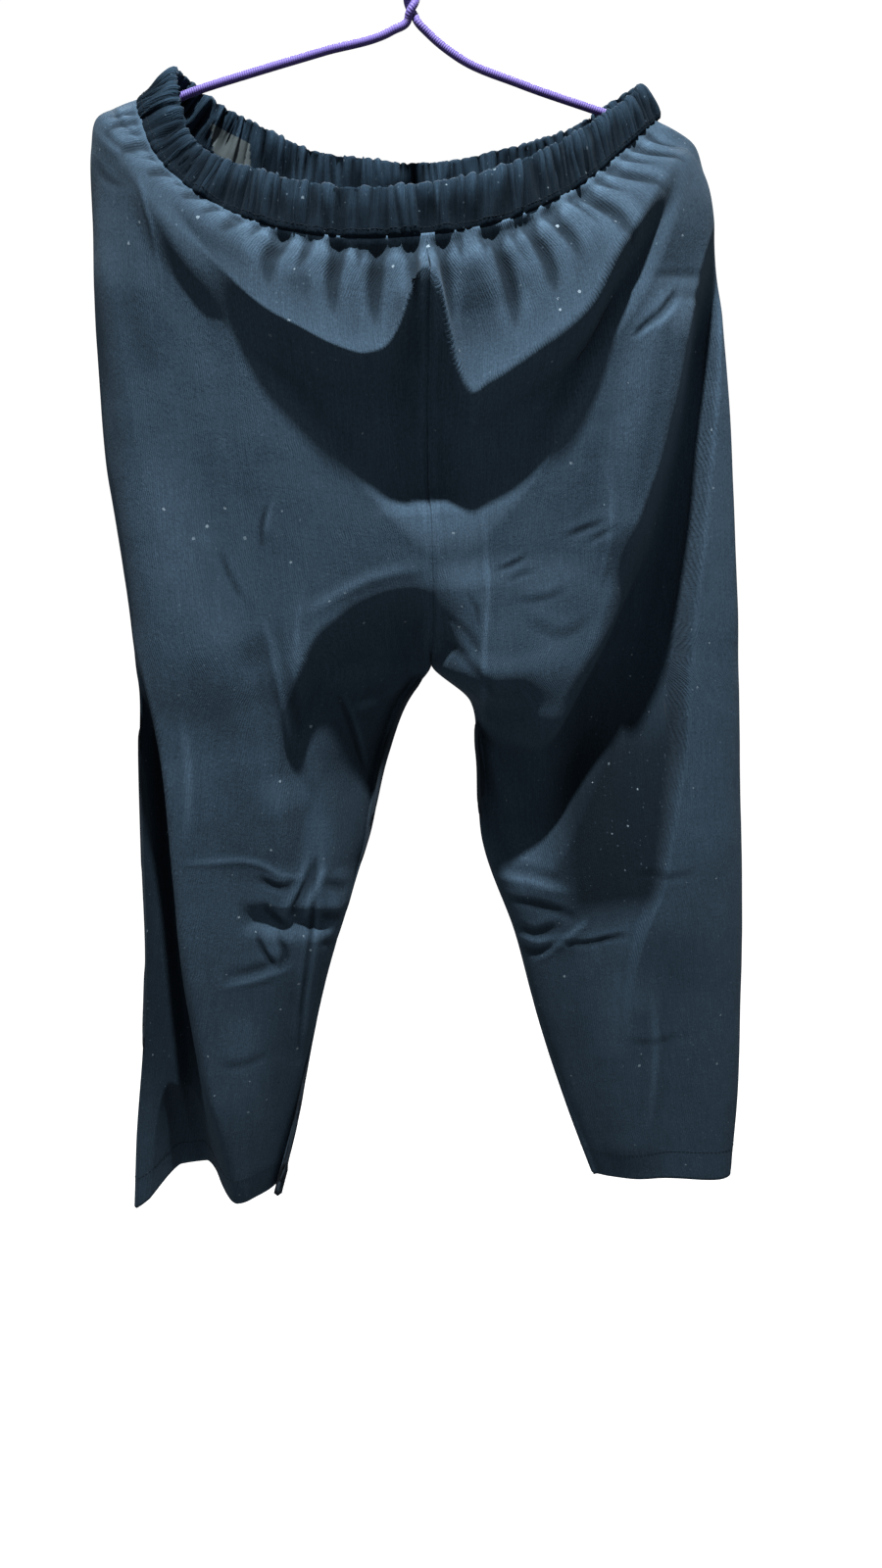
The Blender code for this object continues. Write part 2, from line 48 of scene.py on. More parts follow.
# Room: a pale sweep of floor and wall, a small lamp above the camera and faint light from all round.
# The lamp is high and in front, so the cloth that hangs forward between the hanger's tips throws a
# curved shadow on what is below it.
FLOOR, WALL, WALL_HIGH, SWEEP_TURN, SWEEP_SIDES, TURN_STEPS = -1.75, 7.0, 6.0, 2.0, 96, 13
LAMP, LAMP_SIZE, LAMP_WATTS, LAMP_AIM = (0.0, -0.58, 0.82), 0.06, 51.0, (0.0, -0.05, -0.50)
BACK_LAMP, BACK_LAMP_SIZE, BACK_LAMP_WATTS = (0.1, 0.95, 0.80), 0.5, 34.0
ROOM_LIGHT = 0.280
CAMERA_PLACE, CAMERA_TURN, CAMERA_DOWN, CAMERA_ROLL = (-0.0554, -0.8808, -0.4439), -4.0, 12.0, -1.5
LENS, SENSOR = 26.0, 36.0


def add_object(name, data):
    """A new object at the origin."""
    made = bpy.data.objects.new(name, data)
    scene.collection.objects.link(made)
    return made


def new_finish(name, plain):
    """A node material with the shader inputs that are the same all over, its tree and its shader's inputs."""
    finish = bpy.data.materials.new(name)
    finish.use_nodes = True
    inputs = finish.node_tree.nodes["Principled BSDF"].inputs
    for label, value in plain.items():
        inputs[label].default_value = value
    return finish, finish.node_tree, inputs


def add_lamp(name, place, size, watts):
    lamp = bpy.data.lights.new(name, "AREA")
    lamp.energy, lamp.shape, lamp.size = watts, "DISK", size
    holder = add_object(name, lamp)
    holder.location = place
    holder.rotation_euler = (Vector(LAMP_AIM) - Vector(place)).to_track_quat("-Z", "Y").to_euler()


def place_camera():
    turn, down, roll = radians(CAMERA_TURN), radians(CAMERA_DOWN), radians(CAMERA_ROLL)
    ahead = Vector((-sin(turn) * cos(down), cos(turn) * cos(down), -sin(down)))
    level = Vector((cos(turn), sin(turn), 0))
    above = level.cross(ahead)
    right = level * cos(roll) + above * sin(roll)
    up = above * cos(roll) - level * sin(roll)
    camera = bpy.data.cameras.new("camera")
    camera.sensor_fit, camera.sensor_height, camera.lens = "VERTICAL", SENSOR, LENS
    scene.camera = add_object("camera", camera)
    columns = [right, up, -ahead, Vector(CAMERA_PLACE)]
    scene.camera.matrix_world = Matrix([[column[i] for column in columns] for i in range(3)] + [[0, 0, 0, 1]])


def add_sweep():
    bend = [(WALL - SWEEP_TURN * (1 - sin(t)), FLOOR + SWEEP_TURN * (1 - cos(t)))
            for t in np.linspace(0, pi / 2, TURN_STEPS)]
    outline = [(WALL * k / 6, FLOOR) for k in range(5)] + bend + [(WALL, WALL_HIGH)]
    turns = np.linspace(0, 2 * pi, SWEEP_SIDES, endpoint=False)
    points = [(r * cos(t), r * sin(t), z) for r, z in outline for t in turns]
    numbers = np.arange(len(points)).reshape(len(outline), SWEEP_SIDES)
    after = np.roll(numbers, -1, axis=1)
    faces = np.stack([numbers[:-1], after[:-1], after[1:], numbers[1:]], axis=-1).reshape(-1, 4)
    mesh = bpy.data.meshes.new("floor_sweep")
    mesh.from_pydata(points, [], faces.tolist())
    mesh.shade_smooth()
    paper = new_finish("pale_paper", {"Base Color": (0.60, 0.60, 0.60, 1), "Roughness": 0.9, "Specular IOR Level": 0.1,
                                      "Emission Color": (1, 1, 1, 1), "Emission Strength": 0.86})[0]
    mesh.materials.append(paper)
    sweep = add_object("floor_sweep", mesh)
    sweep.visible_diffuse = sweep.visible_glossy = False


place_camera()
add_sweep()
add_lamp("key_lamp", LAMP, LAMP_SIZE, LAMP_WATTS)
add_lamp("back_lamp", BACK_LAMP, BACK_LAMP_SIZE, BACK_LAMP_WATTS)
room = bpy.data.worlds.new("room")
room.use_nodes = True
room.node_tree.nodes["Background"].inputs["Color"].default_value = (1.0, 1.0, 1.0, 1)
room.node_tree.nodes["Background"].inputs["Strength"].default_value = ROOM_LIGHT
scene.world = room
scene.view_settings.view_transform = "Standard"


# Legs and seat: four panels of fine-waled cotton corduroy, cut with the wales down the leg and joined at the
# side seams, inseams and centre seams. The cloth is gathered on to the waistband, rests on the hanger's
# rounded tips and hangs from there. The tables give the panels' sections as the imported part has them.
CLOTH = 0.0015
RIGHT, LEFT = -1, 1
FRONT, BACK = -1, 1
# The hanger's two round tips, which the cloth rests on: x and z of their centres, and how far the cloth is from them.
WIRE, TIP_RADIUS, REST = 0.0056, 0.024, 0.0018
RIGHT_TIP, LEFT_TIP = (-0.1905, -0.1730), (0.1755, -0.1860)


def seat(tip, degrees):
    """x and z of the cloth's outer face where it rests on a hanger tip, at an angle above level."""
    reach = TIP_RADIUS + WIRE / 2 + REST + CLOTH
    away = -1 if tip is RIGHT_TIP else 1
    return tip[0] + away * reach * cos(radians(degrees)), tip[1] + reach * sin(radians(degrees))


BAND_SEAM_GAP = 0.0006
# Stations round the waistband, from the wearer's right side over the front to the left side and home over the
# back: x, y and z of the free upper edge, and from there to the seamed lower edge.
Station = namedtuple("Station", "name x y z out forward fall")
STATIONS = (
    Station("right side", -0.162, 0.000, -0.119, -0.024, 0.001, 0.018),
    Station("right drop", -0.161, -0.022, -0.142, -0.026, -0.004, 0.011),
    Station("right corner", -0.153, -0.037, -0.171, -0.021, -0.007, 0.016),
    Station("right bend", -0.134, -0.052, -0.190, -0.013, -0.007, 0.024),
    Station("right front", -0.102, -0.068, -0.205, -0.006, -0.006, 0.030),
    Station("right dip", -0.055, -0.084, -0.216, -0.003, -0.004, 0.031),
    Station("centre front", 0.000, -0.090, -0.216, 0.000, -0.003, 0.031),
    Station("left dip", 0.050, -0.083, -0.206, 0.001, -0.004, 0.032),
    Station("left front", 0.098, -0.059, -0.181, 0.005, -0.005, 0.031),
    Station("left rise", 0.137, -0.028, -0.149, 0.007, -0.003, 0.028),
    Station("left side", 0.161, 0.000, -0.128, 0.012, 0.000, 0.022),
    Station("left back", 0.134, 0.026, -0.138, 0.010, 0.003, 0.028),
    Station("left seat", 0.075, 0.049, -0.154, 0.003, 0.003, 0.032),
    Station("centre back", 0.000, 0.057, -0.161, 0.000, 0.003, 0.032),
    Station("right seat", -0.075, 0.050, -0.153, -0.003, 0.003, 0.032),
    Station("right back", -0.136, 0.027, -0.132, -0.018, 0.004, 0.025),
)
SIDE_RIGHT, CENTRE_FRONT, SIDE_LEFT, CENTRE_BACK = 0, 6, 10, 13

# Level sections of the body. closed goes from 0, where the panel ends flat at the centre seam, to 1, where it turns
# back to the inseam. swell is its deepest y. follow is the share of a section that is the waistband's own lower
# edge, let down by the distance below.
Body = namedtuple("Body", "name closed right_x right_z left_x left_z "
                  "front_y front_z back_y back_z front_swell back_swell follow below")
BODY = (
    Body("over the wire", 0.0, *seat(RIGHT_TIP, 80), *seat(LEFT_TIP, 76),
         -0.091, -0.266, 0.062, -0.213, -0.091, 0.062, 0.70, 0.018),
    Body("shoulder", 0.0, *seat(RIGHT_TIP, 38), *seat(LEFT_TIP, 36),
         -0.085, -0.281, 0.063, -0.229, -0.085, 0.063, 0.40, 0.036),
    Body("hanger tips", 0.0, *seat(RIGHT_TIP, -6), *seat(LEFT_TIP, -6),
         -0.078, -0.300, 0.063, -0.250, -0.078, 0.063, 0.15, 0.056),
    Body("fullest", 0.0, -0.2275, -0.235, 0.2150, -0.245,
         -0.066, -0.345, 0.060, -0.296, -0.066, 0.060, 0.0, 0.0),
    Body("under the swag", 0.0, -0.2315, -0.300, 0.2245, -0.305,
         -0.056, -0.398, 0.057, -0.350, -0.056, 0.057, 0.0, 0.0),
    Body("hip", 0.0, -0.2320, -0.375, 0.2330, -0.380,
         -0.050, -0.445, 0.055, -0.410, -0.050, 0.055, 0.0, 0.0),
    Body("seat", 0.3, -0.2245, -0.455, 0.2390, -0.460,
         -0.037, -0.490, 0.043, -0.475, -0.053, 0.057, 0.0, 0.0),
    Body("rise", 0.65, -0.2220, -0.505, 0.2415, -0.505,
         -0.019, -0.520, 0.022, -0.518, -0.057, 0.058, 0.0, 0.0),
)
# Level sections of the two legs from the crotch down.
Leg = namedtuple("Leg", "name z right_x right_in left_in left_x "
                 "right_front right_back left_front left_back")
LEGS = (
    Leg("crotch", -0.536, -0.2235, 0.000, 0.000, 0.2420, -0.058, 0.058, -0.056, 0.058),
    Leg("fork", -0.562, -0.2250, -0.019, 0.028, 0.2430, -0.058, 0.057, -0.055, 0.057),
    Leg("thigh", -0.605, -0.2280, -0.036, 0.035, 0.2450, -0.058, 0.056, -0.053, 0.056),
    Leg("above the knee", -0.680, -0.2320, -0.055, 0.038, 0.2495, -0.056, 0.053, -0.048, 0.054),
    Leg("knee", -0.760, -0.2360, -0.085, 0.064, 0.2530, -0.053, 0.051, -0.042, 0.052),
    Leg("calf", -0.840, -0.2445, -0.105, 0.084, 0.2540, -0.050, 0.053, -0.038, 0.052),
    Leg("shin", -0.920, -0.2560, -0.124, 0.107, 0.2540, -0.047, 0.057, -0.034, 0.054),
    Leg("hem", -0.983, -0.2630, -0.142, 0.129, 0.2520, -0.045, 0.066, -0.031, 0.058),
)
CROTCH = 1 + len(BODY)
COARSE_COLUMNS, SAMPLES = 32, 160
FOLLOW_FADE, ROUNDNESS, ROUNDER = 0.09, 0.64, (0.5, 0.8)

# The back's own slack hangs out below the waistband, down to a curved edge.
Swag = namedtuple("Swag", "depth half_width top fall bend roll reach")
BACK_SWAG = Swag(0.016, 0.180, -0.190, 0.185, 1.7, 0.090, 0.200)
SWAG_STARTS = 0.055

# Folds: where each begins and ends in x and z, its half width and depth at both ends, and how much of the width
# lies on the +X side. A depth above zero is a trough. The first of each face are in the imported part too.
Fold = namedtuple("Fold", "name x0 z0 x1 z1 wide0 wide1 deep0 deep1 share")
FOLDS = {
    FRONT: (
        Fold("right side valley", -0.221, -0.470, -0.218, -1.160, 0.006, 0.058, -0.012, 0.074, 0.50),
        Fold("right hem hollow", -0.214, -0.840, -0.220, -1.140, 0.030, 0.078, 0.000, 0.070, 0.50),
        Fold("right thigh line", -0.130, -0.500, -0.110, -0.640, 0.020, 0.024, 0.004, 0.007, 0.40),
        Fold("left inner thigh", 0.050, -0.540, 0.075, -0.720, 0.022, 0.030, 0.006, 0.014, 0.50),
        Fold("right knee", -0.160, -0.722, -0.080, -0.735, 0.016, 0.014, 0.004, 0.010, 0.50),
        Fold("under the swag", -0.004, -0.326, 0.000, -0.425, 0.022, 0.046, 0.010, 0.014, 0.50),
        Fold("right hip plane", -0.208, -0.190, -0.172, -0.600, 0.050, 0.070, -0.019, -0.009, 0.50),
        Fold("right leg edge", -0.186, -0.560, -0.176, -0.960, 0.034, 0.034, -0.004, -0.009, 0.50),
        Fold("left hip plane", 0.176, -0.260, 0.140, -0.480, 0.036, 0.036, -0.012, -0.010, 0.50),
        Fold("inner knee fall", -0.055, -0.520, -0.060, -0.735, 0.045, 0.040, 0.003, 0.016, 0.50),
        Fold("inner thigh facet", 0.042, -0.590, 0.072, -0.690, 0.012, 0.014, -0.005, -0.006, 0.50),
        Fold("right thigh fall", -0.150, -0.400, -0.150, -1.180, 0.070, 0.070, 0.006, 0.034, 0.50),
        Fold("thigh lobe", 0.080, -0.450, 0.068, -0.600, 0.050, 0.045, -0.004, -0.010, 0.50),
        Fold("crotch plane", 0.020, -0.450, 0.030, -0.575, 0.042, 0.040, -0.002, -0.034, 0.50),
        Fold("hip slope", -0.185, -0.280, -0.150, -0.520, 0.030, 0.030, 0.003, 0.004, 0.50),
        Fold("left shin fall", 0.170, -0.720, 0.170, -1.140, 0.080, 0.080, 0.002, 0.018, 0.50),
        Fold("calf line", 0.150, -0.780, 0.160, -0.990, 0.034, 0.040, -0.003, -0.005, 0.50),
        Fold("shin line", -0.160, -0.800, -0.165, -0.990, 0.022, 0.026, -0.003, -0.004, 0.50),
    ),
    BACK: (
        Fold("seat left", 0.150, -0.300, 0.100, -0.620, 0.034, 0.044, 0.006, 0.016, 0.60),
        Fold("seat right", -0.160, -0.320, -0.120, -0.640, 0.034, 0.044, 0.006, 0.018, 0.40),
        Fold("back left knee", 0.090, -0.700, 0.215, -0.690, 0.020, 0.018, 0.006, 0.012, 0.50),
        Fold("back right knee", -0.210, -0.710, -0.090, -0.725, 0.022, 0.024, 0.005, 0.006, 0.50),
        Fold("back left calf", 0.180, -0.760, 0.205, -1.040, 0.030, 0.040, 0.004, 0.020, 0.50),
        Fold("back right calf", -0.160, -0.780, -0.168, -1.040, 0.024, 0.028, 0.004, 0.012, 0.50),
        Fold("seat hollow", 0.000, -0.420, -0.010, -0.560, 0.030, 0.026, 0.010, 0.016, 0.50),
        Fold("under right seat", -0.150, -0.560, -0.030, -0.600, 0.020, 0.016, 0.006, 0.010, 0.50),
        Fold("under left seat", 0.030, -0.590, 0.170, -0.555, 0.018, 0.020, 0.009, 0.006, 0.50),
        Fold("back right thigh", -0.170, -0.600, -0.140, -0.760, 0.026, 0.030, 0.004, 0.007, 0.50),
    ),
}
FOLD_FADE, FOLD_FLOOR = 0.22, 0.12
SIDE_FADE, HEM_SIDE_FADE, INSEAM_FADE = 0.16, 0.06, 0.08
HEM_LIFT, HEM_LIFT_STARTS, HEM_LIFT_ENDS = 0.12, -0.860, -0.980

# The front's swag hangs forward between the hanger's tips, in two lobes with a fold between them at the centre seam.
# Along it: x, the z at which the bulge begins to turn in again, how far it stands out, and over what height it turns.
LIPS = (
    (-0.240, -0.150, 0.0000, 0.040), (-0.200, -0.190, 0.0010, 0.040), (-0.170, -0.232, 0.0060, 0.036),
    (-0.151, -0.250, 0.0095, 0.036), (-0.137, -0.263, 0.0140, 0.034), (-0.110, -0.289, 0.0220, 0.032),
    (-0.085, -0.304, 0.0260, 0.030), (-0.062, -0.316, 0.0290, 0.030), (-0.040, -0.321, 0.0300, 0.030),
    (-0.026, -0.314, 0.0280, 0.034), (-0.016, -0.296, 0.0250, 0.042), (-0.009, -0.276, 0.0215, 0.060),
    (-0.002, -0.272, 0.0200, 0.095), (0.005, -0.284, 0.0205, 0.095), (0.011, -0.306, 0.0225, 0.074),
    (0.017, -0.328, 0.0265, 0.044), (0.025, -0.344, 0.0295, 0.030), (0.038, -0.340, 0.0300, 0.028),
    (0.054, -0.331, 0.0305, 0.028), (0.072, -0.319, 0.0300, 0.028), (0.090, -0.307, 0.0295, 0.028),
    (0.108, -0.289, 0.0255, 0.028), (0.124, -0.260, 0.0205, 0.028), (0.140, -0.238, 0.0155, 0.028),
    (0.155, -0.217, 0.0110, 0.028), (0.175, -0.193, 0.0060, 0.028), (0.200, -0.165, 0.0020, 0.030),
    (0.250, -0.140, 0.0010, 0.030),
)
SWAG_LATE = 2.0
# Below the swag the cloth comes forward again along this curve in x and z.
RIM = (
    (-0.240, -0.080), (-0.200, -0.168), (-0.178, -0.212), (-0.162, -0.243), (-0.147, -0.266), (-0.120, -0.302),
    (-0.089, -0.341), (-0.066, -0.368), (-0.031, -0.398), (-0.006, -0.409), (0.008, -0.409), (0.042, -0.400),
    (0.075, -0.379), (0.095, -0.350), (0.110, -0.323), (0.125, -0.300), (0.140, -0.282), (0.153, -0.262),
    (0.164, -0.240), (0.176, -0.210), (0.190, -0.175), (0.250, -0.040),
)
# How far it comes forward there, over what height, where that fades again below, the ends of the curve's two arms,
# and what is left of it in them. In the middle it comes forward later and further.
RIM_OUT, RIM_RISE, RIM_FADE = 0.0130, (-0.020, 0.014), (0.050, 0.260)
RIM_ARMS, RIM_IN_ARMS = (-0.205, -0.135, 0.125, 0.195), 0.25
MIDDLE, MIDDLE_WIDE, MIDDLE_LATER, MIDDLE_FURTHER = 0.015, 0.050, 0.034, 0.35
# The valley in the left leg: z, the x where the cloth begins to fall away, the x where it comes forward again, the
# share of its standing out that is lost between them and beyond, how much deeper it goes and how dark its painted shade
# is.
VALLEY = (
    (-0.225, 0.206, 0.214, 0.00, 0.00, 0.000, 0.0), (-0.270, 0.190, 0.214, 0.55, 0.15, 0.002, 0.4),
    (-0.300, 0.183, 0.212, 0.80, 0.25, 0.004, 0.4), (-0.340, 0.175, 0.211, 0.92, 0.32, 0.006, 0.3),
    (-0.395, 0.161, 0.207, 1.00, 0.42, 0.009, 0.2), (-0.453, 0.137, 0.202, 1.00, 0.48, 0.013, 0.2),
    (-0.512, 0.117, 0.195, 1.00, 0.50, 0.018, 0.2), (-0.565, 0.088, 0.190, 0.95, 0.44, 0.018, 0.5),
    (-0.610, 0.078, 0.188, 0.84, 0.34, 0.014, 0.9), (-0.655, 0.074, 0.180, 0.66, 0.22, 0.008, 1.0),
    (-0.690, 0.078, 0.174, 0.50, 0.12, 0.003, 1.0), (-0.722, 0.086, 0.168, 0.36, 0.06, 0.000, 1.0),
    (-0.742, 0.096, 0.160, 0.27, 0.03, 0.000, 0.2), (-0.860, 0.115, 0.145, 0.00, 0.00, 0.000, 0.0),
)
VALLEY_FALL, VALLEY_RETURN, VALLEY_FLOOR, VALLEY_DARKENS = 0.85, 0.008, 0.002, 0.35
# The outer edge of the right leg, beyond which the cloth lies back: z, x and share.
SIDE_EDGE = (
    (-0.490, -0.219, 0.0), (-0.513, -0.214, 0.3), (-0.550, -0.206, 0.8), (-0.600, -0.200, 1.0),
    (-0.690, -0.199, 1.0), (-0.770, -0.198, 1.0), (-0.856, -0.194, 0.9), (-0.941, -0.192, 0.6),
    (-1.000, -0.190, 0.5),
)
# Over what width the cloth falls back beyond it, how much deeper it goes and where that fades again, and the shade
# painted there: where it begins and how dark.
SIDE_FALL, SIDE_DEEPER, SIDE_RETURN, SIDE_DARKENS, SIDE_DARK = 0.009, 0.012, (0.014, 0.026), 0.45, 0.75
# Ledges: how deep the cloth falls back under an edge, over what height, from where to where it comes forward again,
# and the x and z of the edge.
Shelf = namedtuple("Shelf", "deep drop lasts ends edge")
SHELVES = (
    Shelf(0.028, 0.040, 0.110, 0.230, (
        (-0.122, -0.585), (-0.106, -0.545), (-0.090, -0.510), (-0.070, -0.491), (-0.045, -0.478), (-0.020, -0.473),
        (0.006, -0.474))),
    Shelf(0.034, 0.026, 0.062, 0.120, (
        (0.012, -0.545), (0.034, -0.566), (0.050, -0.582), (0.072, -0.588), (0.090, -0.578), (0.106, -0.552),
        (0.124, -0.520), (0.150, -0.474), (0.176, -0.430))),
)
SHELF_FADE = 0.024
# Hollows that hardly any light reaches, as folds whose depth is how dark they are, 0 to 1.
SHADES = (
    Fold("inner thigh", -0.058, -0.520, -0.052, -0.735, 0.050, 0.046, 0.28, 0.58, 0.50),
    Fold("under the notch", 0.003, -0.345, 0.003, -0.425, 0.016, 0.022, 0.20, 0.20, 0.50),
)

# Creases pressed into the cloth while it lay folded: half width and depth in millimetres, a trough where the depth
# is above zero, the share of it that rises beside the trough (left of its run if above zero), and the x and z in
# millimetres that it passes.
CREASES = {
    FRONT: (
        (3.0, 1.9, 0.6, (-206, -152), (-196, -166), (-181, -178)),
        (3.5, 1.7, -0.6, (-212, -168), (-200, -182), (-186, -190)),
        (2.8, 1.6, 0.6, (-194, -148), (-184, -160), (-172, -166)),
        (4.0, 0.8, 0.4, (-217, -190), (-209, -203), (-196, -212)),
        (3.5, -1.6, 0.0, (-184, -208), (-176, -240), (-174, -268)),
        (3.0, 2.4, -0.7, (141, -309), (148, -303), (155, -297)),
        (4.0, 3.2, -0.7, (152, -301), (163, -291), (173, -279)),
        (4.5, 1.4, 0.5, (150, -271), (172, -268), (196, -265)),
        (6.0, 1.1, 0.5, (168, -284), (185, -280), (202, -281)), (3.2, 1.6, 0.6, (45, -464), (55, -461), (67, -455)),
        (3.6, 1.1, 0.4, (52, -473), (62, -468), (74, -466)), (4.0, 1.6, 0.6, (95, -442), (106, -438), (124, -432)),
        (3.6, 1.1, -0.5, (112, -447), (122, -441), (132, -437)), (5.0, 1.3, 0.5, (60, -487), (80, -485), (98, -478)),
        (4.0, -1.2, 0.0, (36, -418), (38, -480), (34, -540), (42, -600)),
        (4.0, -1.0, 0.0, (124, -390), (129, -420), (127, -452), (120, -482)),
        (8.0, 1.8, 0.3, (66, -500), (92, -512), (118, -500)), (5.0, 1.3, 0.5, (6, -511), (22, -526), (45, -557)),
        (4.0, 0.9, -0.5, (10, -495), (24, -509), (34, -530)), (3.5, 0.9, 0.5, (22, -478), (30, -492), (31, -505)),
        (3.2, 1.6, -0.6, (-113, -414), (-119, -430), (-121, -447)),
        (3.0, -1.5, 0.0, (-110, -412), (-114, -424), (-117, -438)),
        (4.0, 1.1, 0.5, (-151, -443), (-145, -462), (-137, -482)),
        (3.2, -1.5, 0.0, (-122, -495), (-116, -520), (-112, -548), (-109, -590)),
        (6.0, 1.0, 0.0, (-113, -498), (-106, -540), (-102, -592)),
        (3.2, 2.2, 0.8, (-72, -552), (-63, -580), (-54, -620)),
        (7.0, -2.4, 0.0, (-60, -566), (-50, -563), (-40, -562)),
        (8.0, -2.6, 0.0, (-94, -492), (-68, -478), (-40, -466), (-6, -460)),
        (4.0, -1.0, 0.0, (-95, -480), (-98, -500), (-100, -525)),
        (4.0, -2.2, 0.0, (-194, -673), (-165, -675), (-140, -678), (-120, -688), (-104, -697)),
        (4.5, 3.2, 0.6, (-138, -691), (-126, -697), (-113, -699)),
        (5.0, 3.0, 0.3, (-136, -712), (-128, -722), (-121, -733)),
        (5.0, 3.8, -0.6, (-95, -683), (-104, -702), (-118, -724)),
        (4.0, -2.6, 0.0, (-88, -688), (-96, -706), (-108, -730)),
        (4.0, 2.6, 0.5, (-143, -737), (-138, -752), (-130, -765)),
        (4.0, 2.4, -0.5, (-126, -738), (-122, -754), (-128, -770)),
        (4.5, -2.4, 0.0, (-173, -777), (-146, -775), (-118, -765)),
        (5.0, 1.8, 0.0, (-170, -768), (-146, -766), (-122, -757)),
        (3.0, 2.0, 0.8, (-94, -674), (-100, -730), (-112, -800), (-119, -856)),
        (6.0, 2.6, 0.6, (-90, -699), (-82, -704), (-74, -709)),
        (6.0, 2.4, 0.6, (-93, -723), (-86, -727), (-78, -730)),
        (6.0, 1.8, 0.6, (-97, -748), (-90, -750), (-83, -752)), (6.0, -3.0, 0.0, (46, -706), (75, -709), (104, -714)),
        (6.0, 1.8, 0.0, (50, -697), (76, -699), (100, -704)), (6.0, 2.8, 0.3, (58, -725), (85, -728), (110, -736)),
        (5.5, 3.4, 0.5, (66, -749), (78, -752), (93, -743)), (5.5, 3.0, 0.4, (68, -769), (80, -769), (92, -761)),
        (4.0, -2.2, 0.0, (62, -757), (80, -760), (99, -751)), (5.0, -2.2, 0.0, (78, -778), (98, -757), (119, -737)),
        (3.6, 3.2, 0.8, (95, -757), (118, -758), (151, -755)), (5.0, 1.2, 0.5, (154, -706), (178, -706), (202, -703)),
        (6.0, 1.6, 0.5, (-178, -842), (-160, -846), (-142, -842)),
        (5.0, 1.0, 0.5, (150, -846), (176, -850), (200, -845)),
        (7.0, -1.4, 0.0, (172, -800), (176, -870), (172, -940)),
        (6.0, -1.3, 0.0, (-186, -560), (-184, -610), (-190, -660)),
    ),
    BACK: (
        (4.0, 2.8, -0.7, (-150, -330), (-138, -344), (-128, -360)),
        (3.6, 2.2, 0.7, (-96, -392), (-84, -399), (-66, -402)),
        (5.0, 1.8, 0.5, (-60, -440), (-40, -452), (-16, -456)), (4.0, 2.6, 0.7, (64, -352), (78, -362), (98, -366)),
        (3.6, 1.8, -0.6, (112, -420), (124, -432), (130, -450)), (5.0, -2.0, 0.0, (60, -400), (64, -450), (58, -500)),
        (5.0, -1.8, 0.0, (-112, -420), (-108, -470), (-112, -520)),
        (6.0, 3.4, 0.6, (-6, -520), (-26, -546), (-56, -566)), (6.0, 3.2, -0.6, (8, -522), (30, -550), (64, -562)),
        (4.0, 2.2, 0.6, (-150, -610), (-128, -622), (-100, -620)),
        (4.5, -2.2, 0.0, (-210, -668), (-170, -676), (-120, -672)),
        (5.0, 3.6, 0.6, (-190, -700), (-160, -712), (-118, -708)),
        (4.0, 3.0, -0.6, (-140, -690), (-126, -716), (-132, -744)),
        (5.0, 3.2, 0.6, (-200, -742), (-172, -738), (-138, -752)),
        (4.5, 2.0, 0.5, (-170, -782), (-146, -790), (-118, -784)),
        (5.0, -2.4, 0.0, (80, -664), (124, -672), (176, -664)), (5.0, 3.8, 0.6, (96, -690), (140, -700), (206, -692)),
        (4.5, 3.0, -0.6, (120, -676), (132, -706), (124, -736)),
        (5.0, 2.8, 0.6, (110, -736), (156, -746), (210, -736)),
        (4.0, 1.8, 0.6, (150, -776), (176, -784), (206, -780)),
        (7.0, -1.6, 0.0, (184, -800), (190, -870), (188, -940)),
        (6.0, -1.5, 0.0, (-196, -800), (-204, -870), (-210, -940)),
    ),
}
# How much of that depth a level and an upright crease have, the steps of its line between two points, how far it
# reaches in half widths, how sharp it is and how it tapers at its ends. Then where, how high and how sharp the cloth
# rises beside it.
CREASE_LEVEL, CREASE_UPRIGHT, CREASE_STEPS, CREASE_REACH, CREASE_SHARP = 0.42, 0.66, 6, 4, 1.5
CREASE_ENDS, CREASE_TAPER = (0.02, 0.98), 0.6
BESIDE, BESIDE_HIGH, BESIDE_SHARP = 1.25, 0.45, 1.3

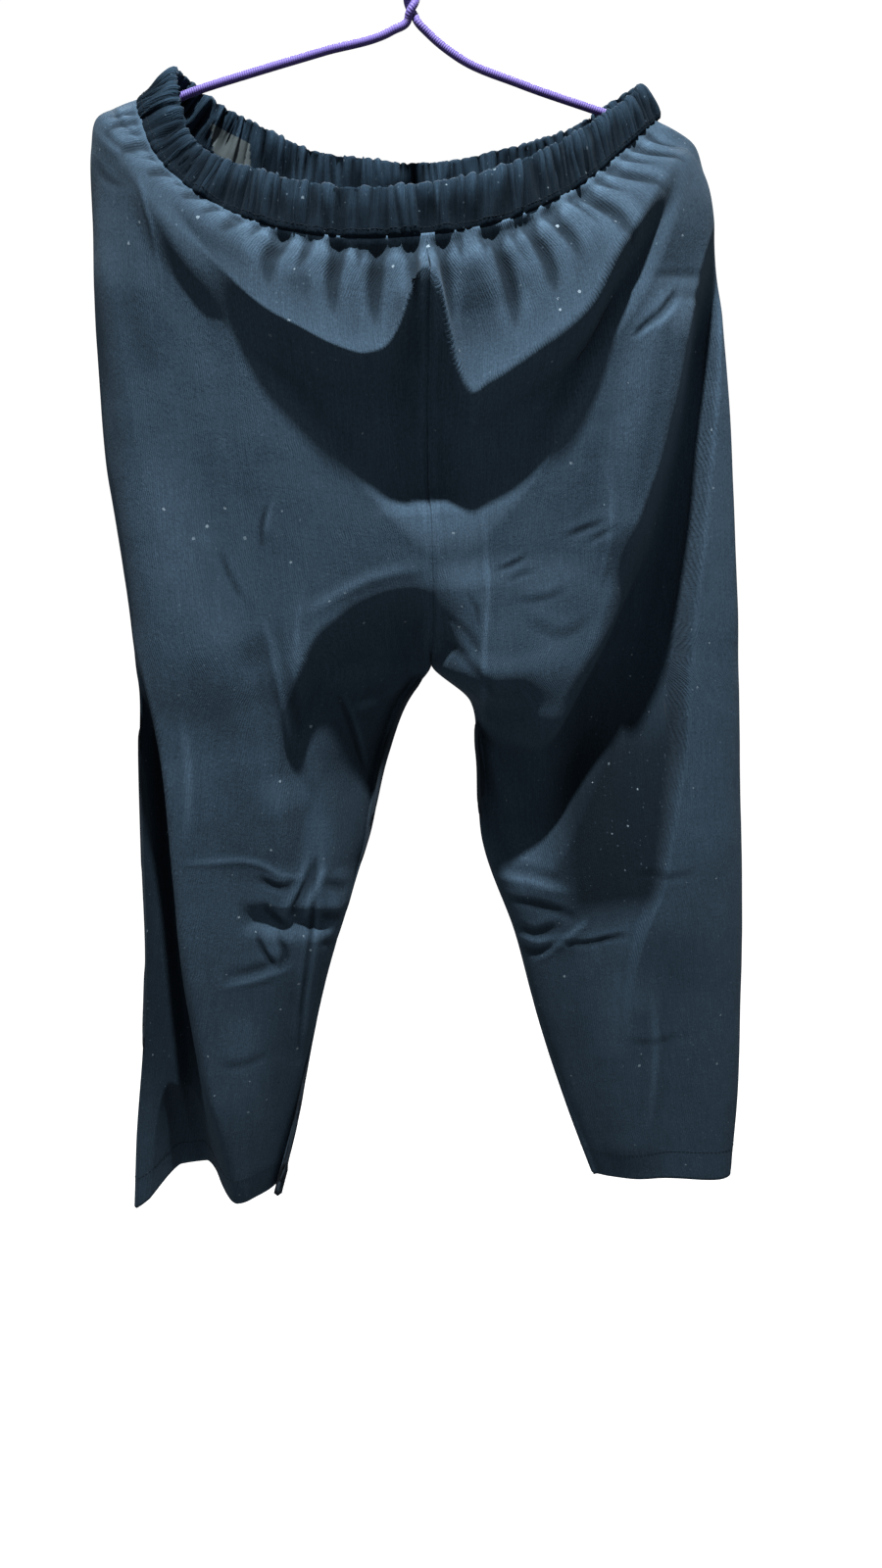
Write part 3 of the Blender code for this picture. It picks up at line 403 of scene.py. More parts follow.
# Tucks in the gathered edge: where each starts along the waistband from the centre seam (the wearer's left above
# zero), its depth and half width in millimetres, how far down it runs and how far it drifts sideways there.
TUCKS = {
    FRONT: (
        (-0.240, 1.6, 2.6, 0.030, 0.004), (-0.231, 2.2, 2.8, 0.040, 0.006), (-0.221, 1.5, 2.4, 0.026, 0.003),
        (-0.210, 2.6, 3.2, 0.044, 0.005), (-0.199, 1.8, 2.6, 0.026, 0.002), (-0.186, 3.4, 3.6, 0.036, 0.004),
        (-0.172, 1.8, 2.6, 0.022, 0.000), (-0.160, 3.2, 3.8, 0.030, 0.002), (-0.143, 2.4, 3.0, 0.034, 0.000),
        (-0.127, 3.0, 3.6, 0.040, 0.001), (-0.112, 2.2, 2.8, 0.028, 0.000), (-0.095, 5.6, 5.6, 0.062, 0.001),
        (-0.077, 2.6, 3.4, 0.040, 0.000), (-0.057, 5.4, 5.0, 0.065, 0.002), (-0.044, 2.4, 3.0, 0.031, 0.002),
        (-0.032, 5.6, 6.2, 0.068, 0.001), (-0.011, 5.0, 5.0, 0.050, 0.003), (0.009, 4.8, 4.4, 0.068, 0.002),
        (0.020, 1.6, 2.4, 0.025, 0.000), (0.036, 1.6, 2.6, 0.028, 0.000), (0.044, 5.4, 5.4, 0.078, 0.002),
        (0.056, 2.6, 3.6, 0.043, 0.001), (0.068, 5.0, 5.4, 0.065, 0.002), (0.086, 4.0, 5.4, 0.050, 0.002),
        (0.106, 2.4, 3.0, 0.040, 0.002), (0.117, 5.0, 5.2, 0.060, 0.004), (0.134, 2.4, 3.4, 0.030, 0.002),
        (0.150, 4.0, 5.0, 0.046, 0.006), (0.168, 2.4, 3.2, 0.030, 0.002), (0.184, 3.6, 4.0, 0.044, 0.003),
        (0.204, 2.4, 3.4, 0.034, 0.000),
    ),
    BACK: (
        (-0.206, 3.4, 4.2, 0.044, 0.001), (-0.184, 4.6, 4.4, 0.060, -0.002), (-0.160, 6.2, 4.8, 0.078, -0.003),
        (-0.141, 3.4, 4.0, 0.036, 0.000), (-0.122, 5.4, 4.4, 0.062, -0.002), (-0.104, 6.4, 4.8, 0.084, -0.002),
        (-0.086, 3.0, 3.6, 0.030, 0.001), (-0.070, 5.2, 4.2, 0.056, 0.000), (-0.049, 6.8, 4.8, 0.088, -0.002),
        (-0.030, 3.4, 3.8, 0.036, 0.001), (-0.013, 5.6, 4.6, 0.060, 0.001), (0.006, 6.2, 4.4, 0.074, 0.000),
        (0.026, 4.2, 4.0, 0.046, 0.001), (0.043, 6.4, 4.8, 0.080, 0.002), (0.061, 3.2, 3.8, 0.034, 0.000),
        (0.080, 5.8, 4.4, 0.064, 0.003), (0.101, 6.6, 5.0, 0.090, 0.003), (0.119, 3.4, 4.0, 0.040, 0.000),
        (0.138, 5.4, 4.6, 0.066, 0.002), (0.161, 5.8, 4.6, 0.074, 0.003), (0.184, 3.8, 4.2, 0.048, 0.000),
        (0.204, 3.2, 4.0, 0.038, 0.000),
    ),
}
# They are made deeper by a share. Where each starts and fades out, how blunt it is, how it narrows downwards, and how
# dark the shade painted in its hollow is.
TUCK_DEEPER, TUCK_STARTS, TUCK_FADE, TUCK_SHAPE = 1.1, (0.0005, 0.0065), (0.30, 1), 1.7
TUCK_WIDE, TUCK_NARROWS, TUCK_NARROWEST = 1.40, 1.05, 0.3
TUCK_DARK, TUCK_DARKEST = 0.016, 0.35
# Shade under the waistband is painted on the gathered cloth below it as a darker strip: how dark, and where it begins,
# is darkest and ends.
WAIST_PAINTED_SHADE, WAIST_STRIP = 0.46, (0.006, 0.020, 0.030, 0.150)
# It puffs out a little between the tucks: how far, over what height, where it ends, and less at the right side.
PUFF_OUT, PUFF_RISE, PUFF_FADE, PUFF_SIDE, PUFF_LESS = 0.0010, 0.020, (0.020, 0.075), (0.150, 0.215), 0.75

# Grid of one panel's outer face, with columns closest at the seams and rows closest at the waist.
PANEL_COLUMNS, PANEL_ROWS, EDGE_CLOSER = 190, 394, 0.45
ROW_STEP_WAIST, ROW_STEP_HEM = 0.0013, 0.0026
INNER_STEP = 2
# Slow drapes and small crumples: size across and down, lean in degrees and height of each. They are drawn from a
# lattice of chance values that spans this many metres, from this far to the side and below.
CRUMPLE = ((0.085, 0.340, 4, 0.0016), (0.046, 0.150, -7, 0.0007), (0.060, 0.055, 31, 0.0006),
           (0.024, 0.026, -24, 0.00018), (0.011, 0.012, 58, 0.00006))
CRUMPLE_SEED, LATTICE_SPAN, LATTICE_SIDE, LATTICE_FOOT = 5, 2.2, 1.0, 1.6
# Creases fade out near the side seam, the inner seams and the waist, and tucks near the side seam.
CREASE_FROM_SIDE, CREASE_FROM_INNER, CREASE_FROM_WAIST, TUCK_FROM_SIDE = 0.012, 0.010, 0.02, 0.030
SEAM_GROOVE, SEAM_GROOVE_WIDE, GROOVE_STARTS = 0.0009, 0.0026, 0.01
# The hem is turned up and doubled, with a small step at the turned edge.
HEM_TURN, HEM_STEP, HEM_DOUBLE = 0.028, 0.002, 1.1
# How far the cloth's heights are blurred to find its ridges and troughs, and the height at which these show fully:
# ridges lighter as worn pile, troughs darker as painted shade.
RIDGE_BLUR, RIDGE_FULL = 7, 0.0007


def smooth(knots, values, at):
    """Values at the places asked for, on a cubic through every knot."""
    knots, values, at = np.asarray(knots, float), np.asarray(values, float), np.asarray(at, float)
    step = np.diff(knots).reshape((-1,) + (1,) * (values.ndim - 1))
    slope = np.diff(values, axis=0) / step
    inner = (slope[:-1] * step[1:] + slope[1:] * step[:-1]) / (step[:-1] + step[1:])
    tangent = np.concatenate([slope[:1], inner, slope[-1:]])
    cell = np.clip(np.searchsorted(knots, at, side="right") - 1, 0, len(knots) - 2)
    width = step[cell]
    t = ((at - knots[cell]).reshape((-1,) + (1,) * (values.ndim - 1))) / width
    return (values[cell] * (1 + 2 * t) * (1 - t) ** 2 + tangent[cell] * width * t * (1 - t) ** 2
            + values[cell + 1] * t ** 2 * (3 - 2 * t) + tangent[cell + 1] * width * t ** 2 * (t - 1))


def ease(low, high, value):
    """0 below low, 1 above high, and a soft rise between."""
    t = np.clip((value - low) / (high - low), 0, 1)
    return t * t * (3 - 2 * t)


def unit(vectors):
    return vectors / np.linalg.norm(vectors, axis=-1, keepdims=True)


def at_shares(points, shares):
    """Points at shares of the length of a line of many points."""
    length = np.append(0, np.cumsum(np.linalg.norm(np.diff(points[:, :3], axis=0), axis=1)))
    return np.stack([np.interp(shares * length[-1], length, column) for column in points.T], axis=1)


def band_line(first, last):
    """Upper and lower edge of the waistband between two stations, as rows of six numbers."""
    edges = np.array([(s.x, s.y, s.z, s.x + s.out, s.y + s.forward, s.z - s.fall) for s in STATIONS])
    lap = len(edges)
    ring = np.concatenate([edges[-2:], edges, edges[:3]])
    return smooth(np.arange(-2, lap + 3), ring, np.linspace(first, last, SAMPLES))


def section(side, edge, swell, closed):
    """A panel's section from the side seam to its inner edge, bulging to y = swell."""
    angle = np.linspace(0, pi / 2 * (1 + closed), SAMPLES)
    power = ROUNDNESS + (1 - ROUNDNESS) * ease(*ROUNDER, angle / pi)
    across = 1 - np.sign(np.cos(angle)) * np.abs(np.cos(angle)) ** power
    across = across / across[-1]
    bulge = np.abs(np.sin(angle)) ** power
    y = side[1] + (swell - side[1]) * bulge
    y = y + (edge[1] - y[-1]) * across ** 2
    x = side[0] + (edge[0] - side[0]) * across
    z = side[2] + (edge[2] - side[2]) * across * (2 - across)
    return np.stack([x, y, z], axis=1)


def panel_sections(side, face, across):
    """Every section of one panel at the given shares of its width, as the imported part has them."""
    centre = {FRONT: CENTRE_FRONT, BACK: CENTRE_BACK}[face]
    first = {RIGHT: SIDE_RIGHT, LEFT: SIDE_LEFT}[side]
    if (side, face) == (RIGHT, BACK):
        first = len(STATIONS)
    waist = at_shares(band_line(first, centre), across)
    fall = unit(waist[:, 3:] - waist[:, :3])
    rows = [waist[:, 3:] + fall * BAND_SEAM_GAP]
    for body in BODY:
        seam = (body.right_x, 0, body.right_z) if side == RIGHT else (body.left_x, 0, body.left_z)
        edge = (0, body.front_y, body.front_z) if face == FRONT else (0, body.back_y, body.back_z)
        swell = body.front_swell if face == FRONT else body.back_swell
        line = at_shares(section(seam, edge, swell, body.closed), across)
        follow = body.follow * ease(0, FOLLOW_FADE, across)[:, None]
        rows.append(line * (1 - follow) + (waist[:, 3:] + fall * body.below) * follow)
    for leg in LEGS:
        seam = (leg.right_x if side == RIGHT else leg.left_x, 0, leg.z)
        edge = (leg.right_in if side == RIGHT else leg.left_in, 0, leg.z)
        depths = {(RIGHT, FRONT): leg.right_front, (RIGHT, BACK): leg.right_back,
                  (LEFT, FRONT): leg.left_front, (LEFT, BACK): leg.left_back}
        rows.append(at_shares(section(seam, edge, depths[side, face], 1.0), across))
    waist_length = np.linalg.norm(np.diff(waist[:, 3:], axis=0), axis=1)
    from_centre = waist_length.sum() - np.append(0, np.cumsum(waist_length))
    return np.array(rows), from_centre


def fold_depth(folds, x, z):
    """How far the folds push the cloth in at x and z."""
    total = np.zeros_like(x)
    for fold in folds:
        run = np.array((fold.x1 - fold.x0, fold.z1 - fold.z0))
        long = np.hypot(*run)
        run = run / long
        along = ((x - fold.x0) * run[0] + (z - fold.z0) * run[1]) / long
        aside = (x - fold.x0) * -run[1] + (z - fold.z0) * run[0]
        part = np.clip(along, 0, 1)
        wide = fold.wide0 + (fold.wide1 - fold.wide0) * part
        deep = fold.deep0 + (fold.deep1 - fold.deep0) * part
        reach = 2 * wide * np.where(aside > 0, fold.share, 1 - fold.share)
        shape = 1 - ease(FOLD_FLOOR, 1, np.abs(aside) / reach)
        total += deep * shape * ease(0, FOLD_FADE, along) * ease(0, FOLD_FADE, 1 - along)
    return total


def table_at(rows, places):
    """The other columns of a table at places along its first one."""
    rows = np.array(rows)
    inside = np.clip(places, rows[0, 0], rows[-1, 0])
    return smooth(rows[:, 0], rows[:, 1:], inside.ravel()).T.reshape((-1,) + places.shape)


def swag_depth(face, x, z, below_seam):
    """How far the swag pushes the cloth out at x and z."""
    starts = ease(0, SWAG_STARTS, below_seam)
    if face == BACK:
        swag = BACK_SWAG
        aside = np.clip(np.abs(x) / swag.half_width, 0, 1)
        edge = swag.top - swag.fall * (1 - aside ** swag.bend) ** (1 / swag.bend)
        narrow = np.sqrt(np.clip(1 - (x / swag.reach) ** 2, 0, 1))
        return swag.depth * narrow * starts * ease(0, 1, (z - edge) / swag.roll)
    lip_z, lip_out, lip_roll = table_at(LIPS, x)
    above_lip = np.maximum(z - lip_z, 0)
    fuller = (below_seam / (below_seam + above_lip + 1e-6)) ** SWAG_LATE
    swag = lip_out * fuller * ease(0, 1, (z - lip_z) / lip_roll + 1)
    below_rim = table_at(RIM, x)[0] - z
    out = RIM_OUT * (RIM_IN_ARMS + (1 - RIM_IN_ARMS) * ease(*RIM_ARMS[:2], x) * (1 - ease(*RIM_ARMS[2:], x)))
    middle = np.exp(-((x - MIDDLE) / MIDDLE_WIDE) ** 2)
    rise = ease(0, 1, (below_rim - RIM_RISE[0]) / (RIM_RISE[1] - RIM_RISE[0] + MIDDLE_LATER * middle))
    return swag + out * (1 + MIDDLE_FURTHER * middle) * starts * rise * (1 - ease(*RIM_FADE, below_rim))


def fallen_back(side, x, y, z):
    """The front's y with the legs' valleys in it, and the shade painted at each point in them, 0 to 1."""
    rows = np.array(VALLEY if side == LEFT else SIDE_EDGE)
    rows[:, 0] *= -1
    values = table_at(rows, -z)
    if side == LEFT:
        soft, crisp, share, beyond, deeper, dark = values
        inside = ease(0, VALLEY_FALL, (x - soft) / (crisp - soft))
        back = ease(0, VALLEY_RETURN, x - crisp)
        share, deeper = share + (beyond - share) * back, deeper * (1 - back)
        dark = np.clip(dark, 0, 1) * ease(0, VALLEY_DARKENS, (x - soft) / (crisp - soft)) * (1 - back)
    else:
        edge, share = values
        inside = ease(0, SIDE_FALL, edge - x)
        deeper = SIDE_DEEPER * share * (1 - ease(*SIDE_RETURN, edge - x))
        dark = SIDE_DARK * ease(SIDE_DARKENS, 1, inside * np.clip(share, 0, 1))
    inside = inside * np.clip(share, 0, 1)
    return y - inside * np.minimum(y + VALLEY_FLOOR, 0) + inside * np.maximum(deeper, 0), dark


def shelf_depth(x, z):
    """How far the front falls back under its ledges."""
    total = np.zeros_like(x)
    for shelf in SHELVES:
        first, last = shelf.edge[0][0], shelf.edge[-1][0]
        below = table_at(shelf.edge, x)[0] - z
        inside = ease(0, SHELF_FADE, x - first) * ease(0, SHELF_FADE, last - x)
        total += shelf.deep * inside * ease(0, shelf.drop, below) * (1 - ease(shelf.lasts, shelf.ends, below))
    return total


def crease_height(face, x, z):
    """Height of the creases above the cloth round them."""
    total = np.zeros_like(x)
    for wide, deep, lip, *points in CREASES[face]:
        points = np.array(points) / 1000
        steps = np.linspace(0, len(points) - 1, CREASE_STEPS * (len(points) - 1) + 1)
        line = smooth(np.arange(len(points)), points, steps)
        wide, margin = wide / 1000, CREASE_REACH * wide / 1000
        near = ((x > line[:, 0].min() - margin) & (x < line[:, 0].max() + margin)
                & (z > line[:, 1].min() - margin) & (z < line[:, 1].max() + margin))
        px, pz = x[near], z[near]
        length = np.append(0, np.cumsum(np.linalg.norm(np.diff(line, axis=0), axis=1)))
        nearest, side, along = np.full(px.shape, 1e9), np.ones(px.shape), np.zeros(px.shape)
        for k, (start, step) in enumerate(zip(line, np.diff(line, axis=0))):
            share = np.clip(((px - start[0]) * step[0] + (pz - start[1]) * step[1]) / (step @ step), 0, 1)
            ex, ez = px - start[0] - share * step[0], pz - start[1] - share * step[1]
            gap = np.hypot(ex, ez)
            closer = gap < nearest
            nearest = np.where(closer, gap, nearest)
            side = np.where(closer, np.sign(step[0] * ez - step[1] * ex), side)
            along = np.where(closer, (length[k] + share * (length[k + 1] - length[k])) / length[-1], along)
        offset = side * nearest / wide
        trough = np.exp(-(CREASE_SHARP * offset) ** 2)
        beside = np.exp(-(BESIDE_SHARP * (offset - BESIDE * np.sign(lip))) ** 2)
        shape = trough - abs(lip) * BESIDE_HIGH * beside
        taper = np.clip(np.sin(pi * np.clip(along, *CREASE_ENDS)), 0, 1) ** CREASE_TAPER
        upright = abs(line[-1, 1] - line[0, 1]) / length[-1]
        total[near] -= deep / 1000 * (CREASE_LEVEL + (CREASE_UPRIGHT - CREASE_LEVEL) * upright) * shape * taper
    return total


def tuck_height(face, waist_place, below_seam):
    """Tucks and puffs of the gathered edge, and the tucks' depth, which also paints shade in them."""
    hollow = np.zeros(np.broadcast(waist_place, below_seam).shape)
    starts = ease(*TUCK_STARTS, below_seam)
    for at, deep, wide, long, drift in TUCKS[face]:
        down = below_seam / long
        wide = wide / 1000 * np.maximum(TUCK_WIDE - TUCK_NARROWS * down, TUCK_NARROWEST)
        deep = TUCK_DEEPER * deep / 1000 * starts * (1 - ease(*TUCK_FADE, down))
        hollow += deep * np.exp(-(np.abs(waist_place - at - drift * down) / wide) ** TUCK_SHAPE)
    puff = PUFF_OUT * ease(0, PUFF_RISE, below_seam) * (1 - ease(*PUFF_FADE, below_seam))
    return puff * (1 - PUFF_LESS * ease(*PUFF_SIDE, -waist_place)) - hollow, hollow


def spline_share(k, t):
    """Share of the k-th of four neighbours, -1 to 2, in a smooth curve between 0 and 1."""
    return ((1 - t) ** 3, 3 * t ** 3 - 6 * t ** 2 + 4, -3 * t ** 3 + 3 * t ** 2 + 3 * t + 1, t ** 3)[k + 1] / 4


def uneven_height(x, z, seed):
    """Slow drapes and small crumples of cloth that has been folded and worn."""
    total = np.zeros_like(x)
    for number, (wide, long, lean, height) in enumerate(CRUMPLE):
        chance = np.random.RandomState(10 * seed + number)
        lattice = chance.uniform(-1, 1, (int(LATTICE_SPAN / long) + 6, int(LATTICE_SPAN / wide) + 6))
        turn = radians(lean)
        rows = (LATTICE_FOOT + cos(turn) * z - sin(turn) * x) / long + 1
        columns = (LATTICE_SIDE + sin(turn) * z + cos(turn) * x) / wide + 1
        row, column = np.floor(rows).astype(int), np.floor(columns).astype(int)
        down, over = rows - row, columns - column
        for k in range(-1, 3):
            share = spline_share(k, down)
            for j in range(-1, 3):
                total += height * share * spline_share(j, over) * lattice[row + k, column + j]
    return total


def outward(grid, side, face):
    """Unit normals of a panel's outer points."""
    return unit(np.cross(np.gradient(grid, axis=1), np.gradient(grid, axis=0))) * -side * face


def blurred(values, reach):
    """Mean over reach points each way, along both axes."""
    for axis in (0, 1):
        wide = [(reach, reach) if a == axis else (0, 0) for a in (0, 1)]
        total = np.cumsum(np.insert(np.pad(values, wide, mode="edge"), 0, 0, axis=axis), axis=axis)
        count = values.shape[axis]
        values = (np.take(total, np.arange(count) + 2 * reach + 1, axis=axis)
                  - np.take(total, np.arange(count), axis=axis)) / (2 * reach + 1)
    return values


def shared_normals(grids, crotch):
    """Normals of the four panels, the same for both panels along the seams that join them."""
    above, below = slice(0, crotch), slice(crotch + 1, None)
    seams = [((side, FRONT), (side, BACK), slice(None), 0) for side in (RIGHT, LEFT)]
    seams += [((side, FRONT), (side, BACK), below, -1) for side in (RIGHT, LEFT)]
    seams += [((RIGHT, face), (LEFT, face), above, -1) for face in (FRONT, BACK)]
    normals = {key: outward(grid, *key) for key, grid in grids.items()}
    own = {key: value.copy() for key, value in normals.items()}
    for first, second, rows, column in seams:
        both = unit(own[first][rows, column] + own[second][rows, column])
        normals[first][rows, column] = normals[second][rows, column] = both
    for value in normals.values():
        value[crotch, -1] = (0, 0, -1)
    return normals


def across_lengths(grid):
    """How far each point is from the side seam along its row."""
    steps = np.linalg.norm(np.diff(grid, axis=1), axis=2)
    return np.concatenate([np.zeros((len(grid), 1)), np.cumsum(steps, axis=1)], axis=1)


def dressed_panels():
    """Outer points, normals and surface values of the four panels."""
    even = np.linspace(0, 1, PANEL_COLUMNS + 1)
    across = even - EDGE_CLOSER * np.sin(2 * pi * even) / (2 * pi)
    keys = [(side, face) for side in (RIGHT, LEFT) for face in (FRONT, BACK)]
    coarse = {key: panel_sections(*key, np.linspace(0, 1, COARSE_COLUMNS + 1))[0] for key in keys}
    steps = [np.linalg.norm(np.diff(rows, axis=0), axis=2).mean(axis=1) for rows in coarse.values()]
    down = np.append(0, np.cumsum(np.mean(steps, axis=0)))
    closer = np.linspace(ROW_STEP_WAIST, ROW_STEP_HEM, PANEL_ROWS)
    row_down = np.append(0, np.cumsum(closer / closer.sum() * down[-1]))
    crotch = int(np.argmin(np.abs(row_down - down[CROTCH])))
    row_down[crotch] = down[CROTCH]
    closed = np.interp(row_down, down, [0.0] + [b.closed for b in BODY] + [1.0] * len(LEGS))[:, None]
    below = row_down[:, None]
    grids, waists, cuts, fallen = {}, {}, {}, {}
    for key in keys:
        sections, waists[key] = panel_sections(*key, across)
        grids[key] = smooth(down, sections, row_down)
        cuts[key] = across_lengths(grids[key])
        side, face = key
        x, z = grids[key][:, :, 0].copy(), grids[key][:, :, 2].copy()
        near_hem = ease(-HEM_LIFT_STARTS, -HEM_LIFT_ENDS, -z)
        side_fade = ease(0, 1, across / (SIDE_FADE + (HEM_SIDE_FADE - SIDE_FADE) * near_hem))
        inseam_fade = 1 - closed * (1 - ease(0, INSEAM_FADE, 1 - across))
        folds = fold_depth(FOLDS[face], x, z) * side_fade * inseam_fade
        if face == FRONT:
            folds += shelf_depth(x, z) * inseam_fade
        grids[key][:, :, 1] += face * (swag_depth(face, x, z, below) * side_fade - folds)
        if face == FRONT:
            grids[key][:, :, 1], fallen[side] = fallen_back(side, x, grids[key][:, :, 1], z)
        grids[key][:, :, 2] += HEM_LIFT * folds * near_hem
    normals = shared_normals(grids, crotch)
    panels = {}
    for key in keys:
        side, face = key
        grid = grids[key]
        lengths = across_lengths(grid)
        from_side, from_inner = lengths, lengths[:, -1:] - lengths
        x, z = grid[:, :, 0], grid[:, :, 2]
        seam_fade = ease(0, CREASE_FROM_SIDE, from_side) * (1 - closed * (1 - ease(0, CREASE_FROM_INNER, from_inner)))
        gathered, hollow = tuck_height(face, side * waists[key][None, :], below)
        tuck_fade = ease(0, TUCK_FROM_SIDE, from_side)
        gathered, hollow = gathered * tuck_fade, hollow * tuck_fade
        creased = crease_height(face, x, z) + uneven_height(x, z, CRUMPLE_SEED + side + 3 * face)
        height = gathered + creased * seam_fade * ease(0, CREASE_FROM_WAIST, below)
        seam = np.minimum(from_side, from_inner)
        height -= SEAM_GROOVE * np.exp(-(seam / SEAM_GROOVE_WIDE) ** 2) * ease(0, GROOVE_STARTS, below)
        grids[key] = grid + normals[key] * height[:, :, None]
        middle = cuts[key] - cuts[key][:, PANEL_COLUMNS // 2][:, None]
        panels[key] = {
            "uv": np.stack([middle, np.broadcast_to(-below, middle.shape)], axis=2),
            "ridge": np.clip((height - blurred(height, RIDGE_BLUR)) / RIDGE_FULL, -1, 1),
            # Painted shade in the tucks and in a strip below the waistband.
            "hollow": (np.clip(hollow / TUCK_DARK, 0, TUCK_DARKEST) + WAIST_PAINTED_SHADE * ease(*WAIST_STRIP[:2], below)
                       * (1 - ease(*WAIST_STRIP[2:], below))),
            "seam": seam,
            "hem": np.broadcast_to(row_down[-1] - below, seam.shape),
        }
    walls = shared_normals(grids, crotch)
    # Painted shade in the front's hollows and the legs' valleys.
    for side in (RIGHT, LEFT):
        shade = fold_depth(SHADES, grids[side, FRONT][:, :, 0], grids[side, FRONT][:, :, 2])
        panels[side, FRONT]["hollow"] = np.maximum.reduce([panels[side, FRONT]["hollow"], shade, fallen[side]])
    for key in keys:
        double = 1 + HEM_DOUBLE * (1 - ease(HEM_TURN - HEM_STEP, HEM_TURN, panels[key]["hem"]))
        panels[key]["outer"] = grids[key]
        panels[key]["inner"] = grids[key] - walls[key] * (CLOTH * double)[:, :, None]
        panels[key]["normal"] = walls[key]
    return panels


def join_rows(upper, lower):
    """Triangles between two rows of point numbers, where the lower row may have half the upper row's steps."""
    if len(upper) == len(lower):
        a, b, c, d = upper[:-1], upper[1:], lower[:-1], lower[1:]
        return np.concatenate([np.stack([a, c, d], axis=1), np.stack([a, d, b], axis=1)])
    a, b, c, d, e = upper[:-2:2], upper[1::2], upper[2::2], lower[:-1], lower[1:]
    return np.concatenate([np.stack([a, d, b], 1), np.stack([b, d, e], 1), np.stack([b, e, c], 1)])


def make_mesh(name, points, faces, uvs, values, materials, material_numbers):
    """A triangle mesh with its UV map and point values."""
    mesh = bpy.data.meshes.new(name)
    mesh.vertices.add(len(points))
    mesh.vertices.foreach_set("co", np.asarray(points, np.float32).ravel())
    mesh.loops.add(3 * len(faces))
    mesh.loops.foreach_set("vertex_index", faces.astype(np.int32).ravel())
    mesh.polygons.add(len(faces))
    mesh.polygons.foreach_set("loop_start", np.arange(0, 3 * len(faces), 3, dtype=np.int32))
    mesh.update(calc_edges=True)
    layer = mesh.uv_layers.new(name="cut")
    layer.data.foreach_set("uv", np.asarray(uvs, np.float32)[faces.ravel()].ravel())
    for label, numbers in values.items():
        made = mesh.attributes.new(label, "FLOAT", "POINT")
        made.data.foreach_set("value", np.asarray(numbers, np.float32).ravel())
    for finish in materials:
        mesh.materials.append(finish)
    mesh.polygons.foreach_set("material_index", material_numbers.astype(np.int32))
    mesh.shade_smooth()
    mesh.validate()
    return add_object(name, mesh)


def feed(tree, socket, value):
    """Join a node's output to an input, or set the input to a number or colour."""
    if isinstance(value, bpy.types.NodeSocket):
        tree.links.new(value, socket)
    else:
        socket.default_value = value


def add_node(tree, kind, inputs=None, **settings):
    """A shader node with its settings, and its inputs set to numbers or joined to other nodes' outputs."""
    made = tree.nodes.new(kind)
    for name, value in settings.items():
        setattr(made, name, value)
    for name, value in (inputs or {}).items():
        feed(tree, made.inputs[name], value)
    return made


def math_node(tree, operation, *values):
    return add_node(tree, "ShaderNodeMath", dict(enumerate(values)), operation=operation).outputs[0]


def product(tree, first, *others):
    for value in others:
        first = math_node(tree, "MULTIPLY", first, value)
    return first


def total_of(tree, first, *others):
    for value in others:
        first = math_node(tree, "ADD", first, value)
    return first


def new_group(name, inputs, outputs):
    """A node group with named inputs, given as (name, kind, start value), and named outputs."""
    group = bpy.data.node_groups.new(name, "ShaderNodeTree")
    for label, kind, start in inputs:
        socket = group.interface.new_socket(label, in_out="INPUT", socket_type="NodeSocket" + kind)
        if start is not None:
            socket.default_value = start
    for label, kind in outputs:
        group.interface.new_socket(label, in_out="OUTPUT", socket_type="NodeSocket" + kind)
    return group, group.nodes.new("NodeGroupInput").outputs, group.nodes.new("NodeGroupOutput").inputs


def mix_colours(tree, share, first, second, how="MIX"):
    made = add_node(tree, "ShaderNodeMix", data_type="RGBA", blend_type=how)
    for number, value in ((0, share), (6, first), (7, second)):
        feed(tree, made.inputs[number], value)
    return made.outputs[2]


def shaded(tree, colour, shade):
    """A colour made lighter or darker by a number."""
    grey = add_node(tree, "ShaderNodeCombineColor", {"Red": shade, "Green": shade, "Blue": shade})
    return mix_colours(tree, 1.0, colour, grey.outputs["Color"], "MULTIPLY")


def raise_bump(tree, inputs, height, strength, distance):
    bump = add_node(tree, "ShaderNodeBump", {"Height": height, "Strength": strength, "Distance": distance})
    tree.links.new(bump.outputs["Normal"], inputs["Normal"])


def noise(tree, place, scale, detail, **more):
    inputs = {"Vector": place, "Scale": scale, "Detail": detail, **more}
    return add_node(tree, "ShaderNodeTexNoise", inputs).outputs


def ramp(tree, value, low, high, start=0.0, end=1.0):
    """A value run from low to high on to start to end."""
    made = add_node(tree, "ShaderNodeMapRange", {"Value": value, "From Min": low, "From Max": high,
                                                 "To Min": start, "To Max": end})
    return made.outputs["Result"]


def needlecord_wales():
    """Height and shade of fine ribs that run down the cloth, from its cut's own coordinates."""
    group, given, result = new_group("needlecord_wales", [
        ("Cut", "Vector", None), ("Wale", "Float", 0.0016), ("Wander", "Float", 3.0)],
        [("Height", "Float"), ("Streak", "Float"), ("Fuzz", "Float")])
    parts = add_node(group, "ShaderNodeSeparateXYZ", {"Vector": given["Cut"]}).outputs
    wander = product(group, noise(group, given["Cut"], 55.0, 1.0)["Fac"], given["Wander"])
    count = math_node(group, "DIVIDE", parts["X"], given["Wale"])
    turn = product(group, total_of(group, count, wander), 2 * pi)
    rib = math_node(group, "MULTIPLY_ADD", math_node(group, "SINE", turn), 0.5, 0.5)
    group.links.new(math_node(group, "POWER", rib, 0.6), result["Height"])
    for label, closeness, detail, rough in (("Streak", (620.0, 38.0, 1.0), 3.0, 0.6),
                                            ("Fuzz", (820.0, 430.0, 1.0), 4.0, 0.75)):
        long = add_node(group, "ShaderNodeVectorMath", {0: given["Cut"], 1: closeness}, operation="MULTIPLY")
        group.links.new(noise(group, long.outputs[0], 1.0, detail, Roughness=rough)["Fac"], result[label])
    return group


